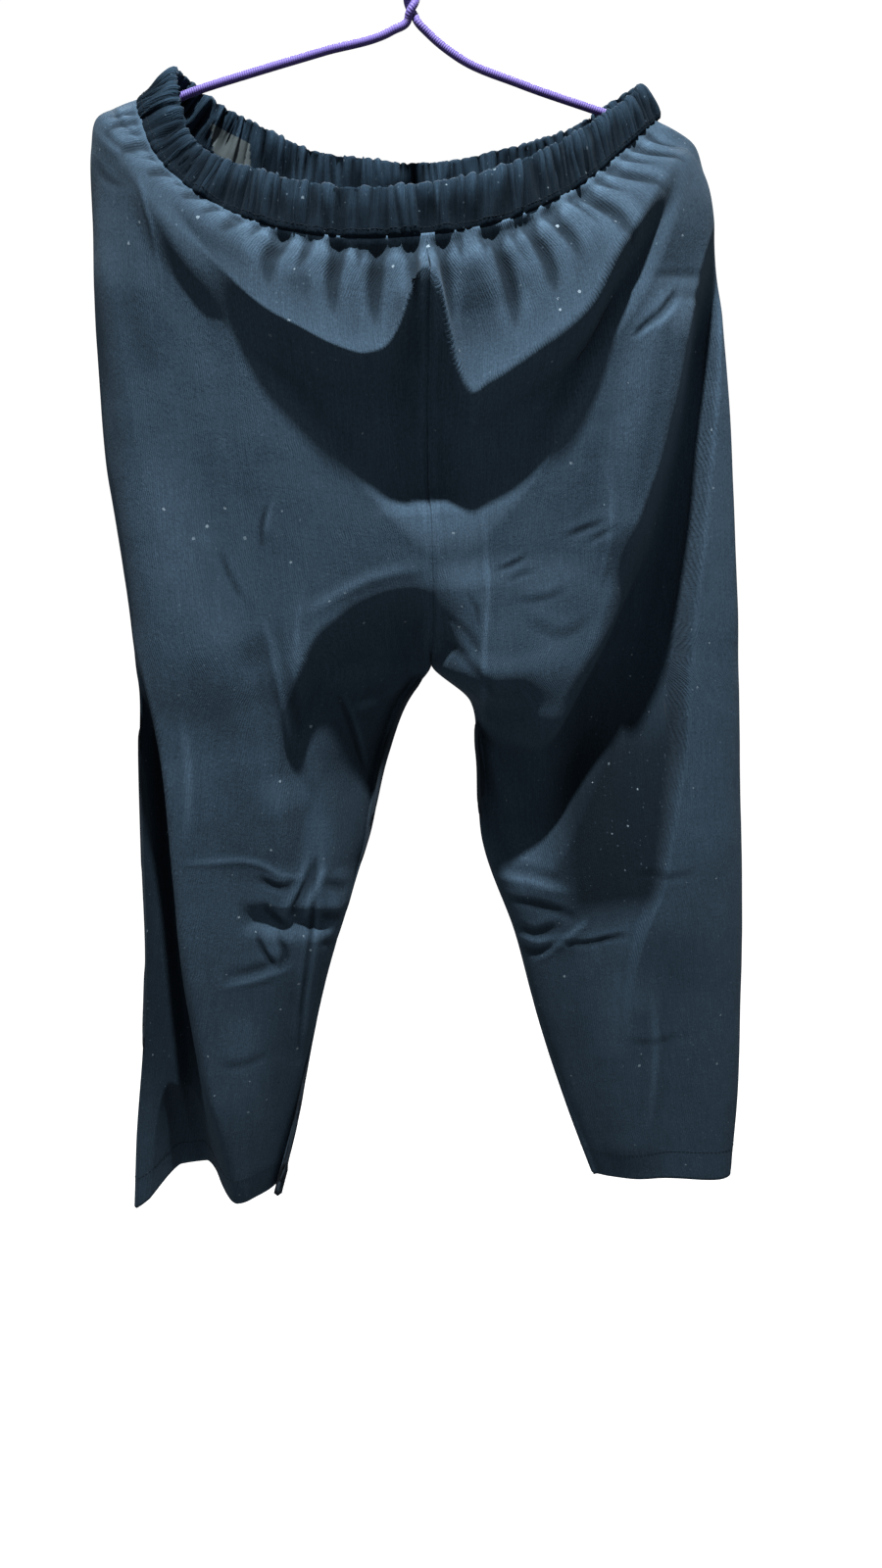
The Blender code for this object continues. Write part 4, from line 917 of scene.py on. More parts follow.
def lint_specks():
    """Small pale specks and hairs scattered over dark cloth."""
    group, given, result = new_group("lint_specks", [
        ("Place", "Vector", None), ("Per metre", "Float", 70.0), ("Size", "Float", 0.04), ("Share", "Float", 0.3)],
        [("Mask", "Float")])
    bent = noise(group, given["Place"], 900.0, 0.0)["Color"]
    shake = add_node(group, "ShaderNodeVectorMath", {0: bent, 1: (0.0012, 0.0012, 0.0012), 2: given["Place"]},
                     operation="MULTIPLY_ADD")
    cells = add_node(group, "ShaderNodeTexVoronoi", {"Vector": shake.outputs[0], "Scale": given["Per metre"]},
                     feature="F1")
    chance = add_node(group, "ShaderNodeSeparateColor", {"Color": cells.outputs["Color"]}).outputs
    chosen = math_node(group, "LESS_THAN", chance["Red"], given["Share"])
    size = product(group, given["Size"], ramp(group, chance["Green"], 0, 1, 0.45, 1.3))
    dot = math_node(group, "LESS_THAN", cells.outputs["Distance"], size)
    strength = ramp(group, chance["Blue"], 0, 1, 0.25, 1.0)
    group.links.new(product(group, dot, chosen, strength), result["Mask"])
    return group


def wear_and_painted_shade():
    """How much lighter or darker the pile is: patches of crushed nap, worn crease ridges, seams and the hem's fold,
    with painted shade in crease troughs and painted lamp light that is lighter round the hips and darker down the legs
    and just below the waist.
    """
    group, given, result = new_group("wear_and_painted_shade", [
        ("Place", "Vector", None), ("Ridge", "Float", 0.0), ("Seam", "Float", 0.1), ("Hem", "Float", 0.5),
        ("Falloff Foot", "Float", -0.50), ("Falloff Top", "Float", -0.33), ("Foot Shade", "Float", 0.82),
        ("Top Shade", "Float", 1.14), ("Waist From", "Float", -0.29), ("Waist To", "Float", -0.215),
        ("Waist Shade", "Float", 0.80)],
        [("Shade", "Float"), ("Nap", "Float")])
    broad = noise(group, given["Place"], 7.0, 4.0, Roughness=0.62, Distortion=0.6)["Fac"]
    patch = noise(group, given["Place"], 42.0, 3.0, Roughness=0.6)["Fac"]
    nap = total_of(group, ramp(group, broad, 0.3, 0.7, -0.5, 0.5), ramp(group, patch, 0.3, 0.7, -0.35, 0.35))
    # Raised creases lighter, as worn pile; troughs darker, as painted shade.
    high = ramp(group, given["Ridge"], 0.1, 1.0, 0.0, 0.55)
    low = ramp(group, given["Ridge"], -1.0, -0.1, -0.42, 0.0)
    seam = ramp(group, given["Seam"], 0.0006, 0.0028, 0.30, 0.0)
    hem = ramp(group, given["Hem"], 0.0008, 0.0030, 0.22, 0.0)
    total = total_of(group, total_of(group, high, low), total_of(group, seam, hem), product(group, nap, 0.15), 1.0)
    # Painted lamp light: lighter round the hips, darker down the legs and just below the waist.
    height = add_node(group, "ShaderNodeSeparateXYZ", {"Vector": given["Place"]}).outputs["Z"]
    painted_falloff = ramp(group, height, given["Falloff Foot"], given["Falloff Top"], given["Foot Shade"], given["Top Shade"])
    waist = ramp(group, height, given["Waist From"], given["Waist To"], 1.0, given["Waist Shade"])
    group.links.new(product(group, total, product(group, painted_falloff, waist)), result["Shade"])
    group.links.new(nap, result["Nap"])
    return group


WALES, LINT, WEAR_AND_SHADE = needlecord_wales(), lint_specks(), wear_and_painted_shade()
CLOTH_COLOUR, PILE_COLOUR = (0.0300, 0.0520, 0.0780, 1), (0.0400, 0.0690, 0.1020, 1)
WALE, WALE_DEEP, FUZZ_DEEP, NAP_DEEP = 0.0016, 0.00022, 0.00055, 0.00045
# Specks on it, the fine ones first: how many on a metre, their size, the share of places that has one, how much they
# show, and their colour.
SPECKS = ((210.0, 0.13, 0.55, 0.42, (0.10, 0.15, 0.20, 1)), (75.0, 0.070, 0.60, 0.75, (0.26, 0.34, 0.40, 1)))
# The cloth's woven back: colour and the spacing of its threads.
BACK_COLOUR, WARP_APART, WEFT_APART = (0.020, 0.030, 0.042, 1), 0.0011, 0.0009
# A flat panel has this much more width than its face. Its length is that of its longer lines, as a percentile.
FLAT_MORE, FLAT_LONG = 0.01, 90


def use_group(tree, group, inputs):
    made = tree.nodes.new("ShaderNodeGroup")
    made.node_tree = group
    for name, value in inputs.items():
        feed(tree, made.inputs[name], value)
    return made.outputs


def needlecord(name, dark, light, shine=0.10):
    """Fine-waled corduroy, face side out."""
    finish, tree, inputs = new_finish(name, {
        "Specular IOR Level": shine, "Specular Tint": (0.50, 0.70, 0.90, 1), "Sheen Weight": shine * 0.6,
        "Sheen Roughness": 0.45, "Sheen Tint": (0.45, 0.62, 0.80, 1)})
    cut = add_node(tree, "ShaderNodeUVMap", uv_map="cut").outputs["UV"]
    place = add_node(tree, "ShaderNodeTexCoord").outputs["Object"]
    ridge, seam, hem, hollow = (add_node(tree, "ShaderNodeAttribute", attribute_name=label).outputs["Fac"]
                                for label in ("ridge", "seam", "hem", "hollow"))
    wales = use_group(tree, WALES, {"Cut": cut, "Wale": WALE})
    wear_and_shade = use_group(tree, WEAR_AND_SHADE, {"Place": place, "Ridge": ridge, "Seam": seam, "Hem": hem})
    colour = mix_colours(tree, ramp(tree, wales["Streak"], 0.3, 0.7, 0.0, 1.0), dark, light)
    # Painted shade: the ribs' grooves a little darker and the hollow attribute darker still; the wear group adds its
    # own painted shade and lamp light.
    shade = product(tree, ramp(tree, wales["Height"], 0, 1, 0.92, 1.04),
                    ramp(tree, wales["Fuzz"], 0.25, 0.75, 0.56, 1.48), wear_and_shade["Shade"],
                    ramp(tree, hollow, 0, 1, 1.0, 0.20))
    colour = shaded(tree, colour, shade)
    for count, size, share, strength, speck_colour in SPECKS:
        specks = use_group(tree, LINT, {"Place": place, "Per metre": count, "Size": size, "Share": share})
        colour = mix_colours(tree, product(tree, specks["Mask"], strength), colour, speck_colour)
    tree.links.new(colour, inputs["Base Color"])
    height = total_of(tree, product(tree, wales["Height"], WALE_DEEP), product(tree, wales["Fuzz"], FUZZ_DEEP),
                      product(tree, wear_and_shade["Nap"], NAP_DEEP))
    raise_bump(tree, inputs, height, 0.9, 1.0)
    tree.links.new(ramp(tree, wales["Fuzz"], 0.3, 0.7, 0.86, 0.98), inputs["Roughness"])
    return finish


def cloth_back(name, colour):
    """The plain woven back of the cloth, seen inside the legs and the waist."""
    finish, tree, inputs = new_finish(name, {"Roughness": 0.92, "Specular IOR Level": 0.15})
    cut = add_node(tree, "ShaderNodeUVMap", uv_map="cut").outputs["UV"]
    parts = add_node(tree, "ShaderNodeSeparateXYZ", {"Vector": cut}).outputs
    across = math_node(tree, "SINE", product(tree, parts["X"], 2 * pi / WARP_APART))
    down = math_node(tree, "SINE", product(tree, parts["Y"], 2 * pi / WEFT_APART))
    weave = product(tree, across, down)
    patch = ramp(tree, noise(tree, cut, 60.0, 4.0)["Fac"], 0.3, 0.7, 0.82, 1.12)
    shade = total_of(tree, patch, product(tree, weave, 0.10))
    tree.links.new(shaded(tree, colour, shade), inputs["Base Color"])
    raise_bump(tree, inputs, weave, 0.5, 0.0001)
    return finish


def add_panel(name, key, panel, finishes):
    """One panel as a thin shell: its fine outer face, its coarser inner face and the edges between them."""
    outer, inner = panel["outer"], panel["inner"][::INNER_STEP, ::INNER_STEP]
    rows, columns = outer.shape[:2]
    inner_rows, inner_columns = inner.shape[:2]
    outside = np.arange(rows * columns).reshape(rows, columns)
    inside = rows * columns + np.arange(inner_rows * inner_columns).reshape(inner_rows, inner_columns)
    face_out = np.concatenate([join_rows(outside[k], outside[k + 1]) for k in range(rows - 1)])
    face_in = np.concatenate([join_rows(inside[k], inside[k + 1]) for k in range(inner_rows - 1)])[:, ::-1]
    rims = [join_rows(outside[0], inside[0])[:, ::-1], join_rows(outside[-1], inside[-1]),
            join_rows(outside[:, 0], inside[:, 0]), join_rows(outside[:, -1], inside[:, -1])[:, ::-1]]
    faces = np.concatenate([face_out, face_in] + rims)
    if key[0] * key[1] > 0:
        faces = faces[:, ::-1]
    numbers = np.zeros(len(faces))
    numbers[len(face_out):len(face_out) + len(face_in)] = 1
    points = np.concatenate([outer.reshape(-1, 3), inner.reshape(-1, 3)])
    both = {label: np.concatenate([panel[label].ravel(), panel[label][::INNER_STEP, ::INNER_STEP].ravel()])
            for label in ("ridge", "seam", "hem", "hollow")}
    uvs = np.concatenate([panel["uv"].reshape(-1, 2), panel["uv"][::INNER_STEP, ::INNER_STEP].reshape(-1, 2)])
    return make_mesh(name + "_cloth", points, faces, uvs, both, finishes, numbers)


PANELS = dressed_panels()
PANEL_NAMES = {(RIGHT, FRONT): "front_right", (LEFT, FRONT): "front_left",
               (RIGHT, BACK): "back_right", (LEFT, BACK): "back_left"}
cloth_face = needlecord("needlecord", CLOTH_COLOUR, PILE_COLOUR)
cloth_inside = cloth_back("needlecord_back", BACK_COLOUR)
panel_pieces, cloths = {}, {}
for key, name in PANEL_NAMES.items():
    piece = add_panel(name, key, PANELS[key], [cloth_face, cloth_inside])
    widths = PANELS[key]["uv"][:, -1, 0] - PANELS[key]["uv"][:, 0, 0]
    falls = np.linalg.norm(np.diff(PANELS[key]["outer"], axis=0), axis=2).sum(axis=0)
    sides = np.diff(PANELS[key]["outer"], axis=0)[:, :-1], np.diff(PANELS[key]["outer"], axis=1)[:-1]
    area = np.linalg.norm(np.cross(*sides), axis=2).sum()
    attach(piece, "root")
    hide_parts(name)
    flat = (float(widths.max()) + FLAT_MORE, float(np.percentile(falls, FLAT_LONG)))
    cloths[key] = dict(flat=flat, held="hung", rests_on=["wire_hanger"], area=float(min(area, flat[0] * flat[1])))
    panel_pieces[key] = piece


# Waistband: a casing of the same cloth folded over a wide elastic, which gathers it into uneven pleats, sewn to
# the panels along its lower edge.
BAND_POINTS, BAND_PLEAT_DEEP, BAND_WIDE = 1700, 0.0042, 0.032
PLEAT_APART, PLEAT_UNEVEN, PLEAT_LEAN, PLEAT_SEED = (0.0034, 0.0105), [0.7, 1.0, 1.0, 1.3], 0.0060, 7
PLEAT_TOPS, PLEAT_FEET, PLEAT_CHANGES, PLEAT_LEVEL = (0.35, 1.0), (0.15, 1.0), (0.1, 0.95), 0.62
PLEAT_LEANS_FROM, PLEAT_NARROWEST, PLEAT_BLUNT = 0.4, 0.0015, 0.6
# Section: how far down the band, how far out in millimetres, share of the pleats' depth, inside or out.
CasingPoint = namedtuple("CasingPoint", "down out pleats inside")
CASING = [CasingPoint(*row) for row in (
    (1.07, -0.40, 0.30, 0), (1.05, 1.60, 0.70, 0), (0.97, 2.60, 0.80, 0), (0.90, 2.80, 0.90, 0),
    (0.78, 2.90, 1.00, 0), (0.66, 3.00, 1.00, 0), (0.55, 3.05, 1.00, 0), (0.46, 3.10, 1.00, 0),
    (0.37, 3.10, 1.00, 0), (0.28, 3.05, 1.00, 0), (0.19, 2.95, 1.00, 0), (0.11, 2.50, 0.95, 0),
    (0.04, 1.60, 0.85, 0), (0.00, 0.50, 0.60, 0), (0.01, -0.50, 0.40, 1), (0.06, -1.10, 0.75, 1),
    (0.15, -1.40, 0.95, 1), (0.30, -1.50, 1.00, 1), (0.45, -1.55, 1.00, 1), (0.60, -1.60, 0.95, 1),
    (0.75, -1.70, 0.80, 1), (0.88, -1.80, 0.55, 1), (0.97, -1.90, 0.30, 1), (1.06, -1.90, 0.15, 1),
)]
# Finer wrinkles among the pleats: spacing along the band and share of the pleats' depth. Their number down the band,
# how much they slant and how often the slant changes. The free edge waves slowly (spacing and height) and lifts with
# the pleats, down to these shares of the band.
WRINKLES = ((0.0062, 0.34), (0.0030, 0.22), (0.0014, 0.10))
WRINKLE_ROWS, WRINKLE_SLANT, SLANT_CHANGES = 2.2, 1.4, 9
EDGE_WAVES, EDGE_LIFT, LIFT_ENDS, WAVES_END = ((0.034, 0.0013), (0.015, 0.0008)), 0.0022, 0.12, 0.8
# Pile is worn lighter on the pleats' tops, and the dips are painted darker as shade. Towards its foot and between
# pleats the band has more painted shade, less of it inside.
TOP_LEVEL, PLEAT_WEAR_AND_SHADE = 0.60, 1.6
BAND_FOOT_DARK, BAND_INSIDE_DARK, BAND_DARKENS, BAND_DARKEST = 0.70, 0.4, (0.12, 0.62), 0.78
DIP_LEVEL, DIP_DARK = 0.55, 0.9
# The band's cloth is coloured darker than the panels' as painted shade.
BAND_SHADED_COLOUR, BAND_SHADED_PILE = (0.0098, 0.0192, 0.0310, 1), (0.0180, 0.0345, 0.0540, 1)
# A short length of pale tape is sewn inside, at the wearer's right.
TAPE_FROM, TAPE_TO, TAPE_DOWN, TAPE_COLOUR = -0.146, -0.120, 0.40, (0.060, 0.078, 0.084, 1)
# The casing's own coordinates: cloth for each metre of its length, and its height. Then the length it was cut at.
WALES_SPREAD, WALES_DOWN, BAND_FULLNESS = 1.7, 0.031, 1.45


def pleat_height(place, length, down, seed):
    """Height of the casing's pleats, from 0 in the dips to 1, at places along it and down it."""
    chance = np.random.RandomState(seed)
    starts = [0.0]
    while starts[-1] < length - PLEAT_APART[1]:
        starts.append(starts[-1] + chance.uniform(*PLEAT_APART) * chance.choice(PLEAT_UNEVEN))
    starts = np.array(starts) * length / (starts[-1] + np.mean(PLEAT_APART))
    ends = np.append(starts[1:], length)
    leans = chance.uniform(-PLEAT_LEAN, PLEAT_LEAN, len(starts) + 1)
    leans = np.append((leans[:-1] + np.roll(leans[:-1], 1)) / 2, 0)
    leans[-1] = leans[0]
    tops, feet = chance.uniform(*PLEAT_TOPS, len(starts)), chance.uniform(*PLEAT_FEET, len(starts))
    total = np.zeros(np.broadcast(place, down).shape)
    for number, (start, end) in enumerate(zip(starts, ends)):
        left = start + leans[number] * (down - PLEAT_LEANS_FROM)
        right = end + leans[number + 1] * (down - PLEAT_LEANS_FROM)
        share = (np.mod(place - left + length / 2, length) - length / 2) / np.maximum(right - left, PLEAT_NARROWEST)
        inside = (share > 0) & (share <= 1)
        high = tops[number] + (feet[number] - tops[number]) * ease(*PLEAT_CHANGES, down)
        total += np.where(inside, high * np.sin(pi * np.clip(share, 0, 1)) ** PLEAT_BLUNT, 0)
    for spacing, deep in WRINKLES:
        count = int(round(length / spacing))
        values = chance.uniform(-1, 1, (6, count))
        slant = WRINKLE_SLANT * (down - 0.5) * np.sin(2 * pi * place / length * SLANT_CHANGES)
        column = np.mod(place / length * count + slant, count)
        row = np.clip(down, 0, 1) * WRINKLE_ROWS + 1
        cell, level = np.floor(column).astype(int), int(np.floor(row))
        for k in range(-1, 3):
            for j in range(-1, 3):
                share = deep * spline_share(k, row - level) * spline_share(j, column - cell)
                total += share * values[level + k, (cell + j) % count]
    return total


def edge_wave(place, length):
    """Slow unevenness of the band's free edge."""
    chance, total = np.random.RandomState(PLEAT_SEED), np.zeros_like(place)
    for spacing, high in EDGE_WAVES:
        count = int(round(length / spacing))
        values, column = chance.uniform(-1, 1, count), np.mod(place / length * count, count)
        cell = np.floor(column).astype(int)
        for j in range(-1, 3):
            total += high * spline_share(j, column - cell) * values[(cell + j) % count]
    return total


def waistband_points():
    """Rows of points down the casing's outside and up its inside, with their values."""
    ring = np.concatenate([band_line(k, k + 1)[:-1] for k in range(len(STATIONS))])
    ring = at_shares(np.concatenate([ring, ring[:1]]), np.linspace(0, 1, BAND_POINTS + 1))[:-1]
    upper, lower = ring[:, :3], ring[:, 3:]
    fall = lower - upper
    steps = np.linalg.norm(np.roll(upper + lower, -1, axis=0) - upper - lower, axis=1) / 2
    length = steps.sum()
    place = np.append(0, np.cumsum(steps))[:-1]
    tangent = np.roll(upper + lower, -1, axis=0) - np.roll(upper + lower, 1, axis=0)
    normal = unit(np.cross(fall, tangent))
    down_way = unit(fall)
    rows, ridges, shades, uvs = [], [], [], []
    for corner in CASING:
        height = pleat_height(place, length, corner.down, PLEAT_SEED + corner.inside)
        way = -1 if corner.inside else 1
        out = corner.out / 1000 + way * BAND_PLEAT_DEEP * corner.pleats * (height - PLEAT_LEVEL)
        lift = (EDGE_LIFT * (height - 0.5) * max(0.0, 1 - corner.down / LIFT_ENDS)
                + edge_wave(place, length) * max(0.0, 1 - corner.down / WAVES_END))
        rows.append(upper + fall * corner.down + normal * out[:, None] - down_way * lift[:, None])
        # Pleat tops lighter as worn pile, dips darker as painted shade; painted shade towards the foot and between
        # pleats.
        ridges.append(np.clip((height - TOP_LEVEL) * PLEAT_WEAR_AND_SHADE * corner.pleats, -1, 1))
        foot = BAND_FOOT_DARK * ease(*BAND_DARKENS, corner.down) * (BAND_INSIDE_DARK if corner.inside else 1)
        shades.append(np.clip(foot + DIP_DARK * np.clip(DIP_LEVEL - height, 0, 1), 0, BAND_DARKEST))
        uvs.append(np.stack([place * WALES_SPREAD, np.full(len(place), -corner.down * WALES_DOWN)], axis=1))
    return np.array(rows), np.array(ridges), np.array(shades), np.array(uvs), length


def add_waistband():
    rows, ridges, shades, uvs, length = waistband_points()
    count, lines = BAND_POINTS, len(CASING)
    numbers = np.arange(lines * count).reshape(lines, count)
    closed = np.concatenate([numbers, numbers[:, :1]], axis=1)
    strips = [join_rows(closed[k], closed[(k + 1) % lines]) for k in range(lines)]
    faces = np.concatenate(strips)[:, ::-1]
    points = rows.reshape(-1, 3)
    values = {"ridge": ridges.ravel(), "seam": np.full(len(points), 0.1), "hem": np.full(len(points), 0.5),
              "hollow": shades.ravel()}
    # The panels' needlecord, coloured darker as painted shade.
    band_face = needlecord("shaded_needlecord", BAND_SHADED_COLOUR, BAND_SHADED_PILE, shine=0.04)
    tape = cloth_back("waist_tape", TAPE_COLOUR)
    middles = points[faces].mean(axis=1)
    low = np.repeat([corner.inside and corner.down > TAPE_DOWN for corner in CASING], 2 * count)
    taped = low & (middles[:, 0] > TAPE_FROM) & (middles[:, 0] < TAPE_TO) & (middles[:, 1] > 0)
    piece = make_mesh("waistband_casing", points, faces, uvs.reshape(-1, 2), values, [band_face, tape], taped)
    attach(piece, "root")
    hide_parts("waistband")
    return piece, rows, length


waistband, band_rows, band_length = add_waistband()


# Sewing: dark cotton thread in single stitches, one row round each hem that holds its turned edge, and one along
# the foot of the waistband, through casing and elastic.
HEM_ROW, HEM_SPACING, HEM_STITCH, HEM_SEED = 0.0265, 0.0034, 0.0027, 3
BAND_ROW, BAND_SPACING, BAND_STITCH, BAND_SEED = 0.90, 0.0029, 0.0023, 9
# The thread's half thickness, how much of it stands above the cloth at the hems, how uneven stitches are in length,
# and its colours.
THREAD, THREAD_STANDS, STITCH_UNEVEN = 0.00026, 0.3, (0.88, 1.08)
THREAD_DARK, THREAD_LIGHT = (0.004, 0.007, 0.011, 1), (0.010, 0.017, 0.025, 1)


def sewing_tree():
    """A row of single stitches along a line, as a tree with its sizes as inputs."""
    tree = bpy.data.node_groups.new("stitch_row", "GeometryNodeTree")
    tree.interface.new_socket("Geometry", in_out="INPUT", socket_type="NodeSocketGeometry")
    for name in ("Spacing", "Length", "Thread"):
        tree.interface.new_socket(name, in_out="INPUT", socket_type="NodeSocketFloat")
    tree.interface.new_socket("Seed", in_out="INPUT", socket_type="NodeSocketInt")
    tree.interface.new_socket("Finish", in_out="INPUT", socket_type="NodeSocketMaterial")
    tree.interface.new_socket("Geometry", in_out="OUTPUT", socket_type="NodeSocketGeometry")
    given = tree.nodes.new("NodeGroupInput").outputs
    line = add_node(tree, "GeometryNodeMeshToCurve", {"Mesh": given["Geometry"]}).outputs["Curve"]
    along = add_node(tree, "GeometryNodeCurveToPoints", {"Curve": line, "Length": given["Spacing"]}, mode="LENGTH")
    stitch = add_node(tree, "GeometryNodeMeshUVSphere", {"Segments": 6, "Rings": 5, "Radius": 1.0}).outputs["Mesh"]
    uneven = add_node(tree, "FunctionNodeRandomValue", {
        "Min": STITCH_UNEVEN[0], "Max": STITCH_UNEVEN[1], "Seed": given["Seed"]}, data_type="FLOAT")
    half = product(tree, given["Length"], 0.5, next(output for output in uneven.outputs if output.enabled))
    size = add_node(tree, "ShaderNodeCombineXYZ", {"X": given["Thread"], "Y": given["Thread"], "Z": half})
    placed = add_node(tree, "GeometryNodeInstanceOnPoints", {
        "Points": along.outputs["Points"], "Instance": stitch, "Rotation": along.outputs["Rotation"],
        "Scale": size.outputs["Vector"]})
    real = add_node(tree, "GeometryNodeRealizeInstances", {"Geometry": placed.outputs["Instances"]}).outputs["Geometry"]
    done = add_node(tree, "GeometryNodeSetMaterial", {"Geometry": real, "Material": given["Finish"]})
    tree.links.new(done.outputs["Geometry"], tree.nodes.new("NodeGroupOutput").inputs["Geometry"])
    return tree


def sewing_thread():
    finish, tree, inputs = new_finish("sewing_thread", {"Roughness": 0.70, "Specular IOR Level": 0.10})
    place = add_node(tree, "ShaderNodeTexCoord").outputs["Object"]
    ply = noise(tree, place, 2600.0, 1.0)["Fac"]
    tree.links.new(mix_colours(tree, ply, THREAD_DARK, THREAD_LIGHT), inputs["Base Color"])
    raise_bump(tree, inputs, ply, 0.5, 0.0001)
    return finish


def sew(name, line, spacing, length, seed):
    """Stitches along a closed line of points."""
    mesh = bpy.data.meshes.new(name)
    numbers = np.arange(len(line))
    mesh.from_pydata(line.tolist(), np.stack([numbers, np.roll(numbers, -1)], axis=1).tolist(), [])
    piece = add_object(name, mesh)
    sewing = piece.modifiers.new("sewing", "NODES")
    sewing.node_group = SEWING
    sizes = {"Spacing": spacing, "Length": length, "Thread": THREAD, "Seed": seed, "Finish": COTTON}
    for item in SEWING.interface.items_tree:
        if item.in_out == "INPUT" and item.name in sizes:
            sewing[item.identifier] = sizes[item.name]
    bpy.context.view_layer.update()
    piece_now = piece.evaluated_get(bpy.context.evaluated_depsgraph_get())
    made = bpy.data.meshes.new_from_object(piece_now)
    piece.modifiers.remove(sewing)
    piece.data = made
    made.shade_smooth()
    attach(piece, "root")
    return piece


SEWING, COTTON = sewing_tree(), sewing_thread()
for number, side in enumerate((RIGHT, LEFT)):
    around = []
    for face in (FRONT, BACK):
        panel = PANELS[side, face]
        row = int(np.argmin(np.abs(panel["hem"][:, 0] - HEM_ROW)))
        around.append((panel["outer"][row] + panel["normal"][row] * THREAD * THREAD_STANDS)[::2])
    line = np.concatenate([around[0], around[1][::-1][1:-1]])
    which = "right" if side == RIGHT else "left"
    sew(which + "_hem_stitches", line, HEM_SPACING, HEM_STITCH, HEM_SEED + number)
foot = next(k for k, corner in enumerate(CASING) if corner.down == BAND_ROW)
across_band = unit(band_rows[foot] - band_rows[-1 - foot])
band_row = sew("waistband_stitches", (band_rows[foot] + across_band * THREAD)[::3], BAND_SPACING, BAND_STITCH,
               BAND_SEED)


# Hanger: steel wire wound with violet cord, bent into a hook, a twisted neck, two arms, two rounded tips and a
# bar across. The cord is wound close, so its turns show as fine slanting ribs.
HOOK_RADIUS, HOOK_END_ANGLE, HOOK_TURNS_IN, HOOK_STEPS = 0.018 + WIRE / 2, 205, -20, 13
SHANK = ((0.0130, -0.0345), (0.0045, -0.0430))
TWIST_TOP, NECK, TWIST_TURNS, TURN_POINTS, TWIST_RADIUS = -0.047, -0.087, 1.5, 8, WIRE / 2 + 0.0002
# Route of the arms in x and z. The wearer's left side hangs a little lower.
RIGHT_ARM = ((-0.014, -0.0935), (-0.063, -0.107), (-0.111, -0.120), (-0.157, -0.1335))
LEFT_ARM = ((0.166, -0.1555), (0.131, -0.1445), (0.075, -0.127), (0.033, -0.111), (0.0125, -0.0965))
RIGHT_TIP_ARC, LEFT_TIP_ARC = (105, 268, 9), (272, 434, 9)
CORD_POINTS, CORD_SIDES, CORD_TURN, WELD = 900, 14, 0.0016, 1e-6
# The cord's colour in the dips between its turns and on their tops, the dips painted darker as shade; then its worn and
# frayed patches.
CORD_DIP, CORD_TOP = (0.058, 0.036, 0.195, 1), (0.092, 0.062, 0.290, 1)
CORD_WORN, CORD_FRAY = (0.078, 0.056, 0.260, 1), (0.100, 0.080, 0.300, 1)


def arc(centre_x, centre_z, radius, start, stop, count):
    """Points on an upright arc, angles in degrees from +X towards +Z."""
    angles = np.radians(np.linspace(start, stop, count))
    return [(centre_x + radius * cos(a), 0, centre_z + radius * sin(a)) for a in angles]


def hanger_route():
    """The wire from the hook's end down the twist, round the shoulders and back up the twist."""
    hook = arc(0, WIRE / 2 - HOOK_RADIUS, HOOK_RADIUS, HOOK_END_ANGLE, HOOK_TURNS_IN, HOOK_STEPS)
    shank = [(x, 0, z) for x, z in SHANK]
    turns = np.linspace(0, 1, int(TURN_POINTS * TWIST_TURNS) + 1)
    angle = pi * (1 - 2 * TWIST_TURNS * turns)
    height = TWIST_TOP + (NECK - TWIST_TOP) * turns
    down = [(TWIST_RADIUS * cos(a), TWIST_RADIUS * sin(a), z) for a, z in zip(angle + pi, height)]
    up = [(TWIST_RADIUS * cos(a), TWIST_RADIUS * sin(a), z) for a, z in zip(angle, height)][::-1]
    right = [(x, 0, z) for x, z in RIGHT_ARM] + arc(*RIGHT_TIP, TIP_RADIUS, *RIGHT_TIP_ARC)
    left = arc(*LEFT_TIP, TIP_RADIUS, *LEFT_TIP_ARC) + [(x, 0, z) for x, z in LEFT_ARM]
    return hook + shank + down + right + left + up


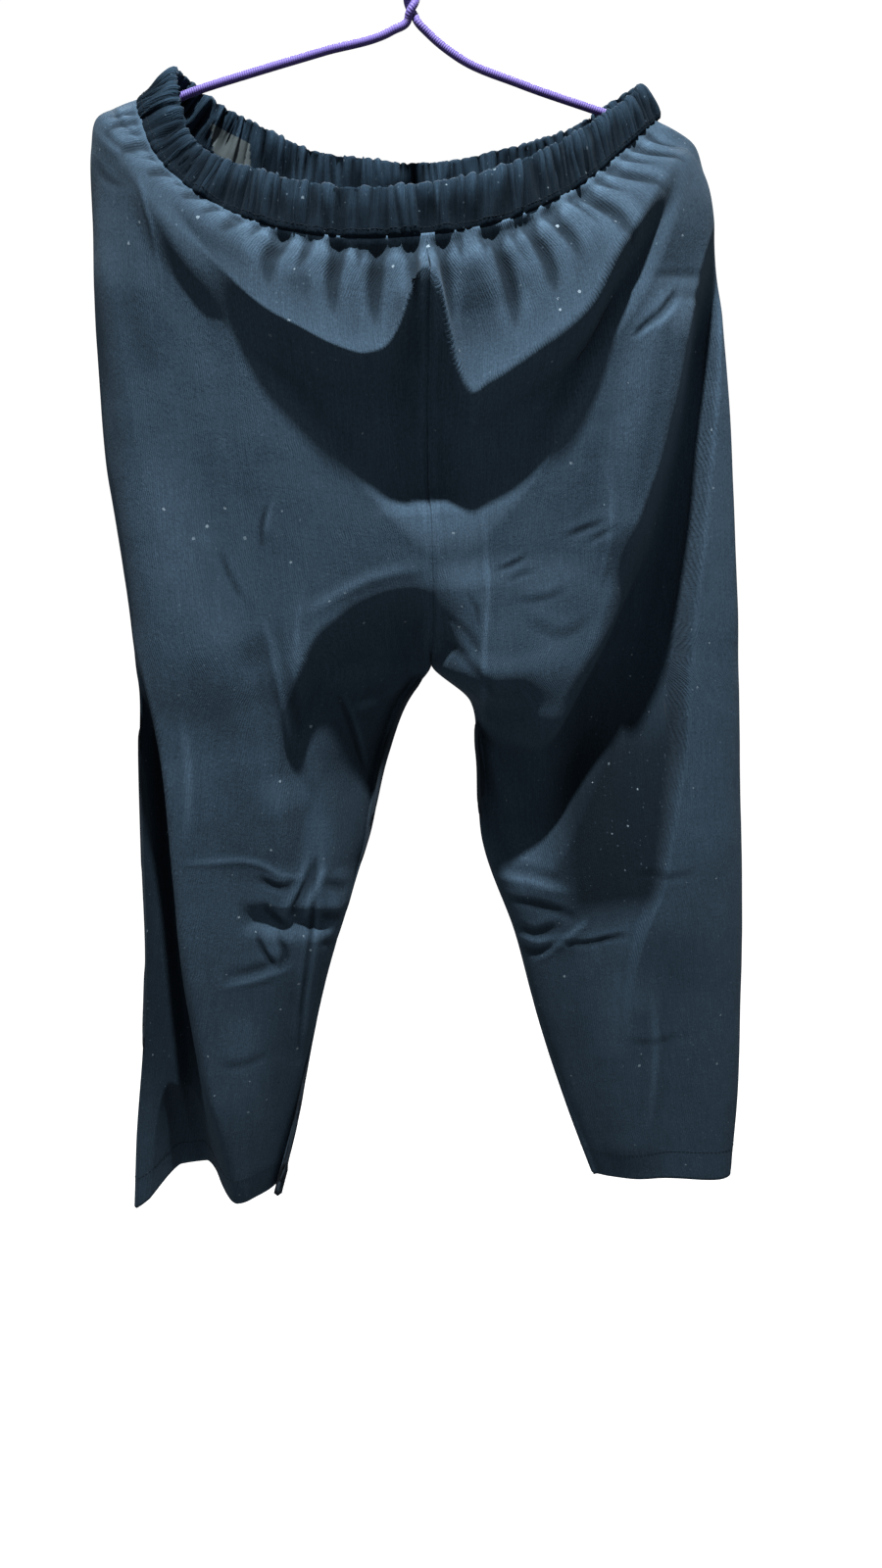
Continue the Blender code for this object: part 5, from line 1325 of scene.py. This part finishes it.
def wound_cord():
    finish, tree, inputs = new_finish("violet_cord", {"Roughness": 0.62, "Sheen Weight": 0.25, "Sheen Roughness": 0.4})
    cut = add_node(tree, "ShaderNodeUVMap", uv_map="cut").outputs["UV"]
    place = add_node(tree, "ShaderNodeTexCoord").outputs["Object"]
    parts = add_node(tree, "ShaderNodeSeparateXYZ", {"Vector": cut}).outputs
    turns = total_of(tree, math_node(tree, "DIVIDE", parts["Y"], CORD_TURN), parts["X"])
    rib = math_node(tree, "MULTIPLY_ADD", math_node(tree, "SINE", product(tree, turns, 2 * pi)), 0.5, 0.5)
    fray, worn = noise(tree, place, 1400.0, 2.0)["Fac"], noise(tree, place, 160.0, 3.0)["Fac"]
    # The dips between turns are painted darker, as shade.
    colour = mix_colours(tree, rib, CORD_DIP, CORD_TOP)
    colour = mix_colours(tree, ramp(tree, worn, 0.50, 0.70, 0.0, 0.7), colour, CORD_WORN)
    colour = mix_colours(tree, ramp(tree, fray, 0.55, 0.75, 0.0, 0.5), colour, CORD_FRAY)
    tree.links.new(colour, inputs["Base Color"])
    raise_bump(tree, inputs, total_of(tree, rib, product(tree, fray, 0.6)), 0.8, 0.0003)
    return finish


def add_hanger():
    route = np.array(hanger_route())
    knots = np.append(0, np.cumsum(np.linalg.norm(np.diff(route, axis=0), axis=1)))
    line = smooth(knots, route, np.linspace(0, knots[-1], CORD_POINTS))
    tangent = unit(np.gradient(line, axis=0))
    across = np.tile((0.0, 1.0, 0.0), (CORD_POINTS, 1))
    for k in range(1, CORD_POINTS):
        across[k] = unit(across[k - 1] - tangent[k] * (across[k - 1] @ tangent[k]))
    other = np.cross(tangent, across)
    angles = 2 * pi * np.arange(CORD_SIDES + 1) / CORD_SIDES
    ring = (across[:, None] * np.cos(angles)[None, :, None] + other[:, None] * np.sin(angles)[None, :, None])
    points = line[:, None] + ring * WIRE / 2
    along = np.linspace(0, knots[-1], CORD_POINTS)
    uv_x = np.broadcast_to(angles / (2 * pi), (CORD_POINTS, CORD_SIDES + 1))
    uvs = np.stack([uv_x, np.broadcast_to(along[:, None], uv_x.shape)], axis=2).reshape(-1, 2)
    numbers = np.arange(CORD_POINTS * (CORD_SIDES + 1)).reshape(CORD_POINTS, -1)
    faces = [join_rows(numbers[k], numbers[k + 1]) for k in range(CORD_POINTS - 1)]
    ends = np.array([line[0] - tangent[0] * WIRE / 4, line[-1] + tangent[-1] * WIRE / 4])
    first, last = numbers.size, numbers.size + 1
    caps = [[first, numbers[0, k + 1], numbers[0, k]] for k in range(CORD_SIDES)]
    caps += [[last, numbers[-1, k], numbers[-1, k + 1]] for k in range(CORD_SIDES)]
    faces = np.concatenate(faces + [np.array(caps)])
    points = np.concatenate([points.reshape(-1, 3), ends])
    uvs = np.concatenate([uvs, [(0, 0), (0, along[-1])]])
    piece = make_mesh("wire_hanger_cord", points, faces, uvs, {}, [wound_cord()], np.zeros(len(faces)))
    closed = bmesh.new()
    closed.from_mesh(piece.data)
    bmesh.ops.remove_doubles(closed, verts=closed.verts, dist=WELD)
    closed.to_mesh(piece.data)
    closed.free()
    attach(piece, "root")
    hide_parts("wire_hanger")


add_hanger()
